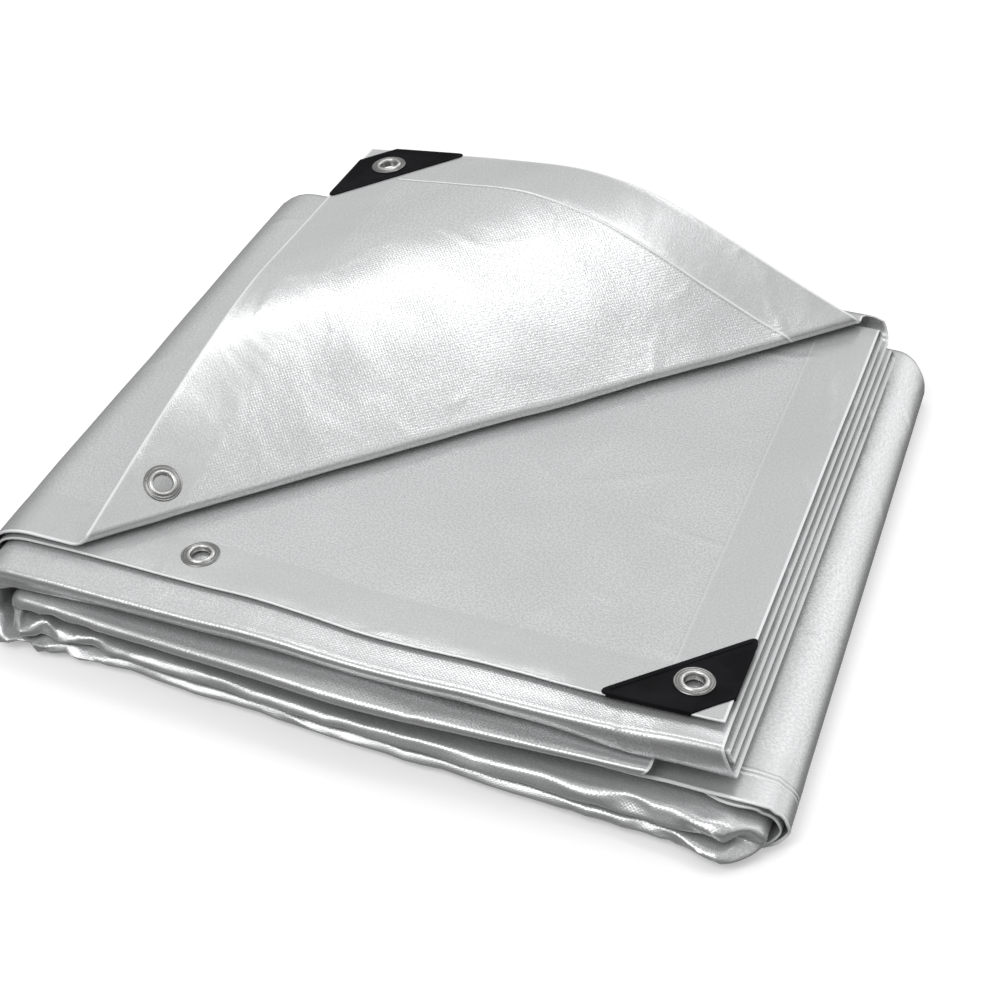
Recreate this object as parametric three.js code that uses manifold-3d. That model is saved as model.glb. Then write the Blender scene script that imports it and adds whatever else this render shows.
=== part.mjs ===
// A folded reinforced tarpaulin: one hemmed sheet folded six deep into a strip, the strip laid in four
// runs one over another, and the top corner turned back over a diagonal crease. Black pockets cover the
// two corners that show, and four metal eyelets stand in the hems.
// Millimetres, +Z up. X runs along the front edge, Y runs to the back, and the part stands on z = 0.
import * as THREE from "three";
import { mergeVertices } from "three/addons/utils/BufferGeometryUtils.js";
import Module from "manifold-3d";

const wasm = await Module();
wasm.setup();

// Sheet
const SHEET = 1.2; // thickness of the woven sheet
const HALF = SHEET / 2;
const GAP = 0.4; // clearance between neighbouring pieces
const HEM = 48; // width of the hem that holds the eyelets
const SETTLE = 0.2; // points this near the floor lie on it
const WELD = 1e-4; // corners this close are one

// Section of the folded strip, seen along X: heights count layers from the innermost sheet, number 6,
// up to sheet number 1, which ends in the free edge. Depths count from that edge, 0, to the back, 500.
const DEPTH = 500;
const TOP_SHEET = 5; // layer position of sheet 1
const TOP_PITCH = 0.7; // sheets 1 and 2 lie closer than the others
const STRAIGHT = [
  { sheet: 5, from: 2, to: 500, parts: 2 },
  { sheet: 2, from: 500, to: -14, parts: 2 },
  { sheet: 1, from: -14, to: 503, parts: 2 },
  { sheet: 0, from: 503, to: -19, parts: 2 },
  { sheet: 3, from: -19, to: 492, parts: 2 },
  { sheet: 4, from: 492, to: HEM, parts: 2 },
];
// The turn that follows each straight stretch: how far it bulges and its number of facets.
const TURNS = [
  { reach: 10, parts: 5 },
  { reach: -3, parts: 3 },
  { reach: 3.5, parts: 3 },
  { reach: -9, parts: 5 },
  { reach: 3, parts: 3 },
];

// The four runs of the strip. A row for each place along X: height of the underside, pitch of the
// layers, place of the free edge, how far the front turn reaches out of it, and place of the back turn.
const RUNS = {
  top: {
    upright: true,
    rows: [
      { x: -525, under: 50, pitch: 6.6, front: 23, reach: 1.15, back: 549 },
      { x: -480, under: 51, pitch: 6.75, front: 20, reach: 1.15, back: 545 },
      { x: -330, under: 56, pitch: 6.5, front: 11, reach: 1.1, back: 531 },
      { x: -250, under: 57.5, pitch: 6.3, front: 0, reach: 1, back: 523 },
      { x: -120, under: 54.5, pitch: 6.95, front: -3.5, reach: 0.9, back: 511 },
      { x: -40, under: 53.5, pitch: 7.4175, front: -3.5, reach: 0.7, back: 503 },
      { x: 0, under: 50, pitch: 8.4, front: -3.5, reach: 0.6, back: 500 },
    ],
  },
  second: {
    upright: false,
    rows: [
      { x: -518, under: 32.4, pitch: 2.8, front: 22, reach: 1, back: 560 },
      { x: -250, under: 33, pitch: 3.3, front: -5, reach: 1, back: 545 },
      { x: -40, under: 41, pitch: 1.95, front: -2, reach: 1, back: 532 },
    ],
  },
  third: {
    upright: true,
    rows: [
      { x: -518, under: 15.2, pitch: 2.9, front: 20, reach: 1, back: 575 },
      { x: -250, under: 15, pitch: 3, front: -8, reach: 1, back: 558 },
      { x: -60, under: 17, pitch: 4, front: -26, reach: 0.75, back: 545 },
      { x: 15, under: 19, pitch: 4.3, front: -31, reach: 0.6, back: 530 },
    ],
  },
  bottom: {
    upright: false,
    rows: [
      { x: -525, under: 0, pitch: 2.6, front: 17, reach: 1, back: 575 },
      { x: -250, under: 0, pitch: 2.6, front: -11, reach: 1, back: 558 },
      { x: 15, under: 0, pitch: 2.9, front: -36, reach: 0.6, back: 530 },
    ],
  },
};

// Ends of the strip: how far each sheet of the top run stands out at the right, sheet 6 first, and how
// far the steps reach back along it; the inner end steps back a little with each sheet.
const END_STEPS = [18, 14.5, 11, 7.5, 4, -12.5];
const STEP_LENGTH = 150;
const INNER_END = -38;
const INNER_STEP = 2;
const MIDDLE = -250; // stations inside the runs
const QUARTER = -60;

// Folds between the runs: place, side, bulge against its own height, share of it lost towards the
// back, and height of its widest line.
const FOLDS = {
  left: { upper: "top", lower: "bottom", x: -525, side: -1, bulge: 1, taper: 0, widest: 0.5, parts: 8 },
  right: { upper: "third", lower: "bottom", x: 15, side: 1, bulge: 2.1, taper: 0.3, widest: 0.36, parts: 8 },
  inner: { upper: "second", lower: "third", x: -518, side: -1, bulge: 1, taper: 0, widest: 0.5, parts: 6 },
};
const FOLD_TUCK = 12; // the ends of a fold draw in by this much at its widest line

// Turned-back corner. The crease runs from the front edge to the right edge of the top sheet, and the
// flap beyond it rises, levels out and ends at the corner of the sheet.
const CREASE_START = new THREE.Vector2(-488, 22);
const CREASE_END = new THREE.Vector2(-12.5, 495.5);
const CREASE_ROLL = 4.5; // radius of the roll along the crease
const FLAP_EDGE = 496; // length of the flap's hem with the eyelets, its left edge
const FLAP_RISE = THREE.MathUtils.degToRad(28);
const FLAP_LEVEL = THREE.MathUtils.degToRad(1);
const RISE_ENDS = 120; // distance from the crease at which the flap starts to level out
const LEVEL_STARTS = 200;
const BACK_LIFT = 0.14; // extra lift for each millimetre from the left edge
const BACK_LIFT_FULL = 215; // distance from the crease at which it is all there
const LIFT_EASES = 100; // the lift grows evenly to here, and eases out over the next stretch
const LIFT_EASE = 200;
const FLAP_ROWS = [0, HEM, 92, 137, 182, 227, 272, 315, 355, 390, 420];
const ROLL_PARTS = 6;
const FLAP_SPACING = [0.06, 0.14, 0.24, 0.34, 0.42, 0.5, 0.58, 0.66, 0.82, 1];
const STRIP_STARTS = ROLL_PARTS; // column of the flap's grid where the eyelet hem is parted from it

// Corner pockets and eyelets
const POCKET_LEG = 82;
const POCKET_TIP = 23; // the tip of the sheet that stays bare
const POCKET_WALL = 1.1;
const POCKET_SIDE = 0.5; // clearance between the sheet's edge and the pocket's fold
const POCKET_ROUND = 5;
const EYELET_OUTER = 14;
const EYELET_HOLE = 7;
const EYELET_BARREL = 7.9;
const EYELET_FLANGE = 1;
const EYELET_SIDES = 28;
const EYELET_CUT = 8.3; // radius of the hole cut in the sheet
const EYELET_ROUND = 1; // how far the flanges are rounded
const PLUG = 20; // length of the plug that cuts the hole
const CORNER_INSET = 29; // from the corner along both hems
const EDGE_INSET = 28;
const LOWER_EYELET = 400; // from the corner to the eyelet further along the hem
const UPPER_EYELET = 419;

const material = (color, roughness, metalness) =>
  new THREE.MeshStandardMaterial({ color, roughness, metalness });
const sheetMaterial = material(0xc9cbcc, 0.42, 0.1);
const hemMaterial = material(0xd2d4d5, 0.42, 0.1);
const pocketMaterial = material(0x121213, 0.55, 0);
const eyeletMaterial = material(0xc4c6c8, 0.3, 1);

const clamp = THREE.MathUtils.clamp;
const lerp = THREE.MathUtils.lerp;

// Values of a run at x, between the two nearest rows.
function runAt(run, x) {
  const rows = RUNS[run].rows;
  let i = 0;
  while (i < rows.length - 2 && x > rows[i + 1].x) i += 1;
  const a = rows[i];
  const b = rows[i + 1];
  const share = clamp((x - a.x) / (b.x - a.x), 0, 1);
  const mix = (name) => lerp(a[name], b[name], share);
  return {
    under: mix("under"),
    pitch: mix("pitch"),
    front: mix("front"),
    reach: mix("reach"),
    back: mix("back"),
  };
}

// Height of a layer above the innermost sheet, in pitches.
function layerHeight(layer) {
  return layer <= TOP_SHEET - 1 ? layer : TOP_SHEET - 1 + TOP_PITCH * (layer - TOP_SHEET + 1);
}

function heightIn(run, at, layer) {
  const whole = layerHeight(TOP_SHEET);
  const rise = RUNS[run].upright ? layerHeight(layer) : whole - layerHeight(layer);
  return at.under + HALF + at.pitch * rise;
}

function depthIn(at, depth) {
  if (depth < 0) return at.front + depth * at.reach;
  if (depth > DEPTH) return at.back + depth - DEPTH;
  return lerp(at.front, at.back, depth / DEPTH);
}

// A point of the strip: a station along it, a depth in its section and a layer position.
function stripPoint(station, depth, layer) {
  if (station.fold) {
    const fold = FOLDS[station.fold];
    const upper = runAt(fold.upper, fold.x);
    const lower = runAt(fold.lower, fold.x);
    const high = heightIn(fold.upper, upper, layer);
    const low = heightIn(fold.lower, lower, layer);
    const widest = lerp(low, high, fold.widest);
    const swing = Math.cos(station.turn);
    const bulge = (fold.bulge * (1 - (fold.taper * depth) / DEPTH) * (high - low)) / 2;
    const tuck = FOLD_TUCK * Math.sin(station.turn) ** 2 * (1 - (2 * depth) / DEPTH);
    return new THREE.Vector3(
      fold.x + fold.side * bulge * Math.sin(station.turn),
      lerp(depthIn(upper, depth), depthIn(lower, depth), (1 - swing) / 2) + tuck,
      widest + swing * (swing > 0 ? high - widest : widest - low),
    );
  }
  const at = runAt(station.run, station.x);
  let x = station.x;
  if (station.run === "top") {
    const i = Math.min(Math.floor(layer), TOP_SHEET - 1);
    const step = lerp(END_STEPS[i], END_STEPS[i + 1], layer - i);
    x += step * Math.max(0, 1 + station.x / STEP_LENGTH);
  }
  if (station.run === "second") {
    const nearEnd = clamp(1 + (station.x - INNER_END) / STEP_LENGTH, 0, 1);
    x -= INNER_STEP * layer * nearEnd;
  }
  return new THREE.Vector3(x, depthIn(at, depth), heightIn(station.run, at, layer));
}

// The section's path as depth and layer, from the free edge of sheet 1 to that of sheet 2.
function sectionPath() {
  const path = [];
  STRAIGHT.forEach((stretch, i) => {
    for (let k = 0; k <= stretch.parts; k += 1)
      path.push({ depth: lerp(stretch.from, stretch.to, k / stretch.parts), layer: stretch.sheet });
    if (i === TURNS.length) return;
    const next = STRAIGHT[i + 1];
    const turn = TURNS[i];
    for (let k = 1; k < turn.parts; k += 1) {
      const angle = (Math.PI * k) / turn.parts;
      const swing = Math.cos(angle);
      path.push({
        depth: lerp(stretch.to, next.from, (1 - swing) / 2) + turn.reach * Math.sin(angle),
        layer: lerp(next.sheet, stretch.sheet, (1 + swing) / 2),
      });
    }
  });
  path.push({ depth: 0, layer: STRAIGHT.at(-1).sheet });
  return path;
}

// Share of the crease at a row of the flap, and the flap's other leg.
const CREASE = CREASE_END.clone().sub(CREASE_START);
const CREASE_LENGTH = CREASE.length();
const FLAP_BACK = Math.sqrt(CREASE_LENGTH ** 2 - FLAP_EDGE ** 2);
const CREASE_SINE = FLAP_BACK / CREASE_LENGTH; // sine of the angle between the crease and the left edge
const creaseX = (row) => lerp(CREASE_START.x, CREASE_END.x, row / FLAP_BACK);
const creaseY = (x) => lerp(CREASE_START.y, CREASE_END.y, (x - CREASE_START.x) / CREASE.x);

// Stations of the top run whose sheet 1 has its edge at x.
function topStation(x) {
  const end = END_STEPS[TOP_SHEET];
  const near = x > -STEP_LENGTH;
  return { run: "top", x: near ? (x - end) / (1 + end / STEP_LENGTH) : x };
}

const foldStations = (name, down) =>
  Array.from({ length: FOLDS[name].parts + 1 }, (_, k) => {
    const turn = (Math.PI * k) / FOLDS[name].parts;
    return { fold: name, turn: down ? turn : Math.PI - turn };
  });

const creaseStations = [...FLAP_ROWS, FLAP_BACK].map((row) => topStation(creaseX(row))).reverse();
const stations = [
  ...creaseStations,
  ...foldStations("left", true),
  { run: "bottom", x: MIDDLE },
  ...foldStations("right", false),
  { run: "third", x: QUARTER },
  { run: "third", x: MIDDLE },
  ...foldStations("inner", false),
  { run: "second", x: MIDDLE },
  { run: "second", x: INNER_END },
];
const lastCrease = creaseStations.length - 1;

// Height of sheet 1 at the crease.
function creaseHeight(x) {
  return stripPoint(topStation(x), 0, TOP_SHEET).z;
}

// A point of the flap: row is the distance from its left edge, off the distance from the crease.
function flapPoint(row, off) {
  const along = (row * CREASE_LENGTH + off * FLAP_EDGE) / FLAP_BACK;
  const roll = CREASE_ROLL * (Math.PI - FLAP_RISE);
  const turned = Math.min(off, roll) / CREASE_ROLL;
  let across = -CREASE_ROLL * Math.sin(turned);
  let rise = CREASE_ROLL * (1 - Math.cos(turned));
  const straight = clamp(off, roll, RISE_ENDS) - roll;
  across += straight * Math.cos(FLAP_RISE);
  rise += straight * Math.sin(FLAP_RISE);
  const bend = clamp(off, RISE_ENDS, LEVEL_STARTS) - RISE_ENDS;
  const slope = (FLAP_LEVEL - FLAP_RISE) / (LEVEL_STARTS - RISE_ENDS);
  across += (Math.sin(FLAP_RISE + slope * bend) - Math.sin(FLAP_RISE)) / slope;
  rise -= (Math.cos(FLAP_RISE + slope * bend) - Math.cos(FLAP_RISE)) / slope;
  const level = Math.max(off, LEVEL_STARTS) - LEVEL_STARTS;
  across += level * Math.cos(FLAP_LEVEL);
  rise += level * Math.sin(FLAP_LEVEL);
  const eased = clamp(row - LIFT_EASES, 0, LIFT_EASE);
  const lift = BACK_LIFT * (Math.min(row, LIFT_EASES) + eased - eased ** 2 / (2 * LIFT_EASE));
  rise += lift * THREE.MathUtils.smoothstep(off, roll, BACK_LIFT_FULL);
  const unit = CREASE.clone().normalize();
  const foot = CREASE_START.clone().addScaledVector(unit, along);
  return new THREE.Vector3(
    foot.x - unit.y * across,
    foot.y + unit.x * across,
    creaseHeight(clamp(foot.x, CREASE_START.x, CREASE_END.x)) + rise,
  );
}

// Distances from the crease for the columns of a row of the flap's grid.
function flapColumns(row) {
  const reach = (FLAP_EDGE * (1 - row / FLAP_BACK)) * CREASE_SINE;
  const roll = Math.min(CREASE_ROLL * (Math.PI - FLAP_RISE), reach / 2);
  const rolled = Array.from({ length: ROLL_PARTS + 1 }, (_, k) => (roll * k) / ROLL_PARTS);
  return [...rolled, ...FLAP_SPACING.map((share) => roll + (reach - roll) * share)];
}

const positions = (points) => new THREE.Float32BufferAttribute(points.flatMap((p) => p.toArray()), 3);

// A middle surface as points and faces, given a thickness: both sides and a rim round its free edges.
class Surface {
  constructor() {
    this.points = [];
    this.faces = [];
  }

  add(point) {
    this.points.push(point);
    return this.points.length - 1;
  }

  quad(a, b, c, d) {
    this.faces.push([a, b, c], [a, c, d]);
  }

  solid(thickness) {
    const flat = new THREE.BufferGeometry();
    flat.setAttribute("position", positions(this.points));
    flat.setIndex(this.faces.flat());
    flat.computeVertexNormals();
    const normals = flat.getAttribute("normal");
    const shift = (p, i, by) => new THREE.Vector3().fromBufferAttribute(normals, i).multiplyScalar(by).add(p);
    const sides = [thickness / 2, -thickness / 2].map((by) => this.points.map((p, i) => shift(p, i, by)));
    const count = this.points.length;
    const faces = this.faces.map((f) => [...f]);
    for (const [a, b, c] of this.faces) faces.push([c + count, b + count, a + count]);
    const used = new Set(this.faces.flatMap(([a, b, c]) => [`${a} ${b}`, `${b} ${c}`, `${c} ${a}`]));
    for (const edge of used) {
      const [a, b] = edge.split(" ").map(Number);
      if (!used.has(`${b} ${a}`)) faces.push([b, a, a + count], [b, a + count, b + count]);
    }
    const geometry = new THREE.BufferGeometry();
    const corners = sides.flat();
    for (const p of corners) if (p.z < SETTLE) p.z = 0;
    geometry.setAttribute("position", positions(corners));
    geometry.setIndex(faces.flat());
    return geometry;
  }
}

// Main sheet: the strip's grid, then the flap beyond the crease. The eyelet hems are left out of it.
function tarpSheet() {
  const surface = new Surface();
  const path = sectionPath();
  const grid = stations.map((station, i) =>
    path.map((place, k) => {
      const point = stripPoint(station, place.depth, place.layer);
      if (i <= lastCrease && k <= 1) {
        const start = creaseY(point.x);
        const end = stripPoint(station, DEPTH, TOP_SHEET).y;
        point.y = lerp(start, end, k / STRAIGHT[0].parts);
      }
      return surface.add(point);
    }),
  );
  for (let i = 0; i < stations.length - 1; i += 1)
    for (let k = 0; k < path.length - 1; k += 1) {
      const inHem = k === path.length - 2 && i < lastCrease;
      if (!inHem) surface.quad(grid[i][k], grid[i][k + 1], grid[i + 1][k + 1], grid[i + 1][k]);
    }
  const rows = FLAP_ROWS.map((row, i) =>
    flapColumns(row).map((off, j) => (j ? surface.add(flapPoint(row, off)) : grid[lastCrease - i][0])),
  );
  const tip = grid[0][0];
  rows.forEach((row, i) => {
    const next = rows[i + 1];
    for (let j = 0; j < row.length - 1; j += 1) {
      if (i === 0 && j >= STRIP_STARTS) continue;
      if (next) surface.quad(row[j], row[j + 1], next[j + 1], next[j]);
      else surface.faces.push([row[j], row[j + 1], tip]);
    }
  });
  return surface.solid(SHEET);
}

function solidOf(geometry) {
  const bare = geometry.clone();
  bare.deleteAttribute("normal");
  bare.deleteAttribute("uv");
  const merged = mergeVertices(bare, WELD);
  const triVerts = new Uint32Array(merged.index.array);
  const vertProperties = merged.attributes.position.array;
  return new wasm.Manifold(new wasm.Mesh({ numProp: 3, vertProperties, triVerts }));
}

function geometryOf(solid) {
  const mesh = solid.getMesh();
  const geometry = new THREE.BufferGeometry();
  geometry.setAttribute("position", new THREE.BufferAttribute(mesh.vertProperties, mesh.numProp));
  geometry.setIndex(new THREE.BufferAttribute(mesh.triVerts, 1));
  geometry.computeVertexNormals();
  return geometry;
}

// Upright plug that cuts an eyelet's hole, in the frame of that eyelet.
function eyeletPlug(frame) {
  const plug = new THREE.CylinderGeometry(EYELET_CUT, EYELET_CUT, PLUG, EYELET_SIDES);
  plug.rotateX(Math.PI / 2);
  plug.applyMatrix4(frame);
  return solidOf(plug);
}

// Frame on a surface from its point and two points beside it, with Z along the upper side.
function frameFrom(origin, ahead, aside) {
  const x = ahead.clone().sub(origin).normalize();
  const z = x.clone().cross(aside.clone().sub(origin)).normalize();
  const y = z.clone().cross(x);
  return new THREE.Matrix4().makeBasis(x, y, z).setPosition(origin);
}

// The lower corner: along is the distance from it on the front edge, inward on the right edge.
const LOWER_SHEET = STRAIGHT.at(-1).sheet;
const LOWER_END = END_STEPS[LOWER_SHEET];
function lowerPoint(along, inward) {
  const near = LOWER_END - along > -STEP_LENGTH;
  const x = near ? -along / (1 + LOWER_END / STEP_LENGTH) : LOWER_END - along;
  return stripPoint({ run: "top", x }, inward, LOWER_SHEET);
}

// The flap's corner: along is the distance from it on the left edge, inward on the back edge.
function upperPoint(along, inward) {
  const off = (FLAP_EDGE * (1 - inward / FLAP_BACK) - along) * CREASE_SINE;
  return flapPoint(inward, off);
}

const NEAR = 5; // spacing of the points that give an eyelet its tilt
const eyelets = {
  eyelet_lower_corner: { point: lowerPoint, along: CORNER_INSET, inward: CORNER_INSET, pocket: true },
  eyelet_lower_edge: { point: lowerPoint, along: LOWER_EYELET, inward: EDGE_INSET },
  eyelet_upper_corner: { point: upperPoint, along: CORNER_INSET, inward: CORNER_INSET, pocket: true },
  eyelet_upper_edge: { point: upperPoint, along: UPPER_EYELET, inward: EDGE_INSET },
};
for (const eyelet of Object.values(eyelets)) {
  const { point, along, inward } = eyelet;
  const down = point === lowerPoint;
  const ahead = down ? point(along - NEAR, inward) : point(along + NEAR, inward);
  eyelet.frame = frameFrom(point(along, inward), ahead, point(along, inward + NEAR));
}

// Hem strip with its eyelet holes, from rows of points across it.
function hemStrip(rows, names) {
  const surface = new Surface();
  const grid = rows.map((row) => row.map((point) => surface.add(point)));
  for (let i = 0; i < grid.length - 1; i += 1)
    for (let k = 0; k < grid[i].length - 1; k += 1)
      surface.quad(grid[i][k], grid[i][k + 1], grid[i + 1][k + 1], grid[i + 1][k]);
  let solid = solidOf(surface.solid(SHEET));
  for (const name of names) solid = solid.subtract(eyeletPlug(eyelets[name].frame));
  return geometryOf(solid);
}

function lowerHem() {
  const rows = creaseStations.map((station, i) => {
    const shifted = i === lastCrease ? { run: "top", x: station.x + GAP } : station;
    return [0, HEM / 2, HEM - GAP].map((depth) => stripPoint(shifted, depth, LOWER_SHEET));
  });
  return hemStrip(rows.reverse(), ["eyelet_lower_corner", "eyelet_lower_edge"]);
}

function upperHem() {
  const columns = [0, HEM - GAP].map((row) => {
    const offs = flapColumns(row).slice(STRIP_STARTS);
    return offs.map((off, j) => flapPoint(row, j ? off : off + GAP));
  });
  const rows = columns[0].map((point, j) => [point, columns[1][j]]);
  return hemStrip(rows, ["eyelet_upper_corner", "eyelet_upper_edge"]);
}

// Pocket over a corner of the sheet, in a frame whose X and Y run down the corner's two edges.
function cornerPocket(frame, plug) {
  const outline = new THREE.Shape();
  const side = -POCKET_SIDE - POCKET_WALL;
  outline.moveTo(POCKET_TIP, side);
  outline.lineTo(POCKET_LEG - POCKET_ROUND, side);
  outline.quadraticCurveTo(POCKET_LEG + POCKET_ROUND, side, POCKET_LEG - POCKET_ROUND, POCKET_ROUND);
  outline.lineTo(POCKET_ROUND, POCKET_LEG - POCKET_ROUND);
  outline.quadraticCurveTo(side, POCKET_LEG + POCKET_ROUND, side, POCKET_LEG - POCKET_ROUND);
  outline.lineTo(side, POCKET_TIP);
  const slotHeight = SHEET + 2 * GAP;
  const height = slotHeight + 2 * POCKET_WALL;
  const body = new THREE.ExtrudeGeometry(outline, { depth: height, bevelEnabled: false, curveSegments: 5 });
  body.translate(0, 0, -height / 2);
  const reach = 2 * POCKET_LEG;
  const slot = new THREE.BoxGeometry(reach, reach, slotHeight);
  slot.translate(reach / 2 - POCKET_SIDE, reach / 2 - POCKET_SIDE, 0);
  const solid = solidOf(body).subtract(solidOf(slot)).subtract(eyeletPlug(plug));
  const mesh = new THREE.Mesh(geometryOf(solid), pocketMaterial);
  mesh.applyMatrix4(frame);
  return mesh;
}

// Spool-shaped ring whose flanges close on a sheet, or on a sheet in its pocket.
function eyeletRing(pocket) {
  const grip = HALF + GAP + (pocket ? POCKET_WALL + GAP : 0);
  const profile = [
    [EYELET_HOLE, -grip - EYELET_FLANGE],
    [EYELET_OUTER - EYELET_ROUND, -grip - EYELET_FLANGE],
    [EYELET_OUTER - EYELET_ROUND, -grip],
    [EYELET_BARREL, -grip],
    [EYELET_BARREL, grip],
    [EYELET_OUTER, grip],
    [EYELET_OUTER, grip + EYELET_FLANGE / 2],
    [EYELET_OUTER - 2 * EYELET_ROUND, grip + EYELET_FLANGE],
    [EYELET_HOLE + EYELET_ROUND, grip + EYELET_FLANGE],
    [EYELET_HOLE, grip + EYELET_FLANGE / 2],
    [EYELET_HOLE, -grip - EYELET_FLANGE],
  ].map(([radius, height]) => new THREE.Vector2(radius, height));
  const ring = new THREE.LatheGeometry(profile, EYELET_SIDES);
  ring.rotateX(Math.PI / 2);
  return ring;
}

const tarp = new THREE.Group();

function addMesh(name, geometry, surface) {
  const mesh = new THREE.Mesh(geometry, surface);
  mesh.name = name;
  tarp.add(mesh);
  return mesh;
}

addMesh("tarp_sheet", tarpSheet(), sheetMaterial);
addMesh("hem_strip_lower", lowerHem(), hemMaterial);
addMesh("hem_strip_upper", upperHem(), hemMaterial);

const corners = {
  corner_pocket_lower: { point: lowerPoint, eyelet: "eyelet_lower_corner" },
  corner_pocket_upper: { point: upperPoint, eyelet: "eyelet_upper_corner" },
};
for (const [name, { point, eyelet }] of Object.entries(corners)) {
  const down = point === lowerPoint;
  const first = down ? point(0, POCKET_LEG) : point(POCKET_LEG, 0);
  const second = down ? point(POCKET_LEG, 0) : point(0, POCKET_LEG);
  const frame = frameFrom(point(0, 0), first, second);
  const plug = frame.clone().invert().multiply(eyelets[eyelet].frame);
  const pocket = cornerPocket(frame, plug);
  pocket.name = name;
  tarp.add(pocket);
}

for (const [name, eyelet] of Object.entries(eyelets))
  addMesh(name, eyeletRing(eyelet.pocket), eyeletMaterial).applyMatrix4(eyelet.frame);

const bounds = new THREE.Box3().setFromObject(tarp, true);
const centre = bounds.getCenter(new THREE.Vector3());
tarp.position.set(-centre.x, -centre.y, -bounds.min.z);

export default tarp;
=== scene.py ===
import math

import bpy
import numpy as np
from mathutils import Matrix, Vector, noise


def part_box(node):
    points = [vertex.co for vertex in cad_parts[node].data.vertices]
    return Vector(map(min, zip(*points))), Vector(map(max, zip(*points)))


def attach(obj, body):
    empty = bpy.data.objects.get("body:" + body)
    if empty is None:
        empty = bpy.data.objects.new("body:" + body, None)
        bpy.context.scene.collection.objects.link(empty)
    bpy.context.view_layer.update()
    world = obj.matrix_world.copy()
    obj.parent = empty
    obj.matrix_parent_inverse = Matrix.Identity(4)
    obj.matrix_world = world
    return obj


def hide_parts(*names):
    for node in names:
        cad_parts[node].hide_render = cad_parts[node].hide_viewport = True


bl_info = {
    "name": "Folded Tarp",
    "version": (1, 0, 0),
    "blender": (4, 5, 0),
    "location": "View3D > Sidebar > Tarp",
    "description": "Dresses a packed folded tarpaulin with its cloth, pockets and eyelets",
    "category": "Object",
}

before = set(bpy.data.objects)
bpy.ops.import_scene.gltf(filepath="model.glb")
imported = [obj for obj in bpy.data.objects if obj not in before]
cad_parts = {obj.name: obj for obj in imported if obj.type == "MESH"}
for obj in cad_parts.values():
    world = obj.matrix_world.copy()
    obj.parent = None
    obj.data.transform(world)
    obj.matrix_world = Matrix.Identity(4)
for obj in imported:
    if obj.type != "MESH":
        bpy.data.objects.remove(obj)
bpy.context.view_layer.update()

MM = 0.001

# Section of the folded strip, as in the solids: layer 5 is the top sheet and layer 0 the innermost.
DEPTH = 500.0
TOP = 5
LOWER = 4
TOP_PITCH = 0.7
CLOTH = 1.2
HEM = 48.0

# Distances from a free edge at which the cloth has points, so that its lip is round.
RIM_STEPS = (3.4, 2.3, 1.2, 0)
RIM_SHARES = (0.8, 0.5, 0.25, 0)

# Straight stretches of the section: layer, depth at each end, and how its points are spread.
STRAIGHT = [
    {"layer": 5, "from": 2, "to": 500, "parts": 20, "crowd": 1.6},
    {"layer": 2, "from": 500, "to": -14, "parts": 8, "crowd": -2.2},
    {"layer": 1, "from": -14, "to": 503, "parts": 8, "crowd": 2.2},
    {"layer": 0, "from": 503, "to": -19, "parts": 9, "crowd": -2.2},
    {"layer": 3, "from": -19, "to": 492, "parts": 12, "crowd": 2.2},
    {"layer": 4, "from": 492, "to": 0, "parts": 40, "crowd": -1.5},
]
# The turn after each stretch: its bulge, its facets, and how square it is (1 is round).
TURNS = [
    {"reach": 10, "parts": 7, "square": 1},
    {"reach": -3, "parts": 7, "square": 1},
    {"reach": 3.5, "parts": 5, "square": 1},
    {"reach": -9, "parts": 14, "square": 0.68},
    {"reach": 3, "parts": 5, "square": 1},
]

# Runs of the strip: place along X, height of the underside, pitch of the layers, place of the free
# edge, how far the front turn stands out of it, and place of the back turn.
COLUMNS = ("x", "under", "pitch", "front", "reach", "back")
RUNS = {
    "top": {
        "upright": True,
        "rows": [
            (-525, 50, 6.6, 23, 1.15, 549),
            (-480, 51, 6.75, 20, 1.15, 545),
            (-330, 56, 6.5, 11, 1.1, 531),
            (-250, 57.5, 6.3, 0, 1, 523),
            (-120, 54.5, 6.95, -3.5, 0.9, 511),
            (-40, 53.5, 7.4175, -3.5, 0.7, 503),
            (0, 50, 8.4, -3.5, 0.6, 500),
        ],
    },
    "second": {
        "upright": False,
        "rows": [
            (-518, 32.4, 2.8, 22, 1, 560),
            (-250, 33, 3.3, -5, 1, 545),
            (-40, 41, 1.95, -2, 1, 532),
        ],
    },
    "third": {
        "upright": True,
        "rows": [
            (-518, 15.2, 2.9, 20, 1, 575),
            (-250, 15, 3, -8, 1, 558),
            (-60, 17, 4, -26, 0.75, 545),
            (15, 19, 4.3, -31, 0.6, 530),
        ],
    },
    "bottom": {
        "upright": False,
        "rows": [
            (-525, 0, 2.6, 17, 1, 575),
            (-250, 0, 2.6, -11, 1, 558),
            (15, 0, 2.9, -36, 0.6, 530),
        ],
    },
}
END_STEPS = [18, 14.5, 11, 7.5, 4, -12.5]
STEP_LENGTH = 150
INNER_END = -38
INNER_STEP = 2

# Folds that join the runs: the run over and under each, its place along X and the side it stands out to.
FOLDS = {
    "left": {"upper": "top", "lower": "bottom", "x": -525, "side": -1},
    "right": {"upper": "third", "lower": "bottom", "x": 15, "side": 1},
    "inner": {"upper": "second", "lower": "third", "x": -518, "side": -1},
}
# Their bulge beside half their height, how it tapers toward the back, the height of the widest place as a
# share of theirs, and their facets.
FOLD_SHAPES = {
    "left": {"bulge": 1, "taper": 0, "widest": 0.5, "parts": 16},
    "right": {"bulge": 2.1, "taper": 0.3, "widest": 0.36, "parts": 22},
    "inner": {"bulge": 1, "taper": 0, "widest": 0.5, "parts": 12},
}
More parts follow.
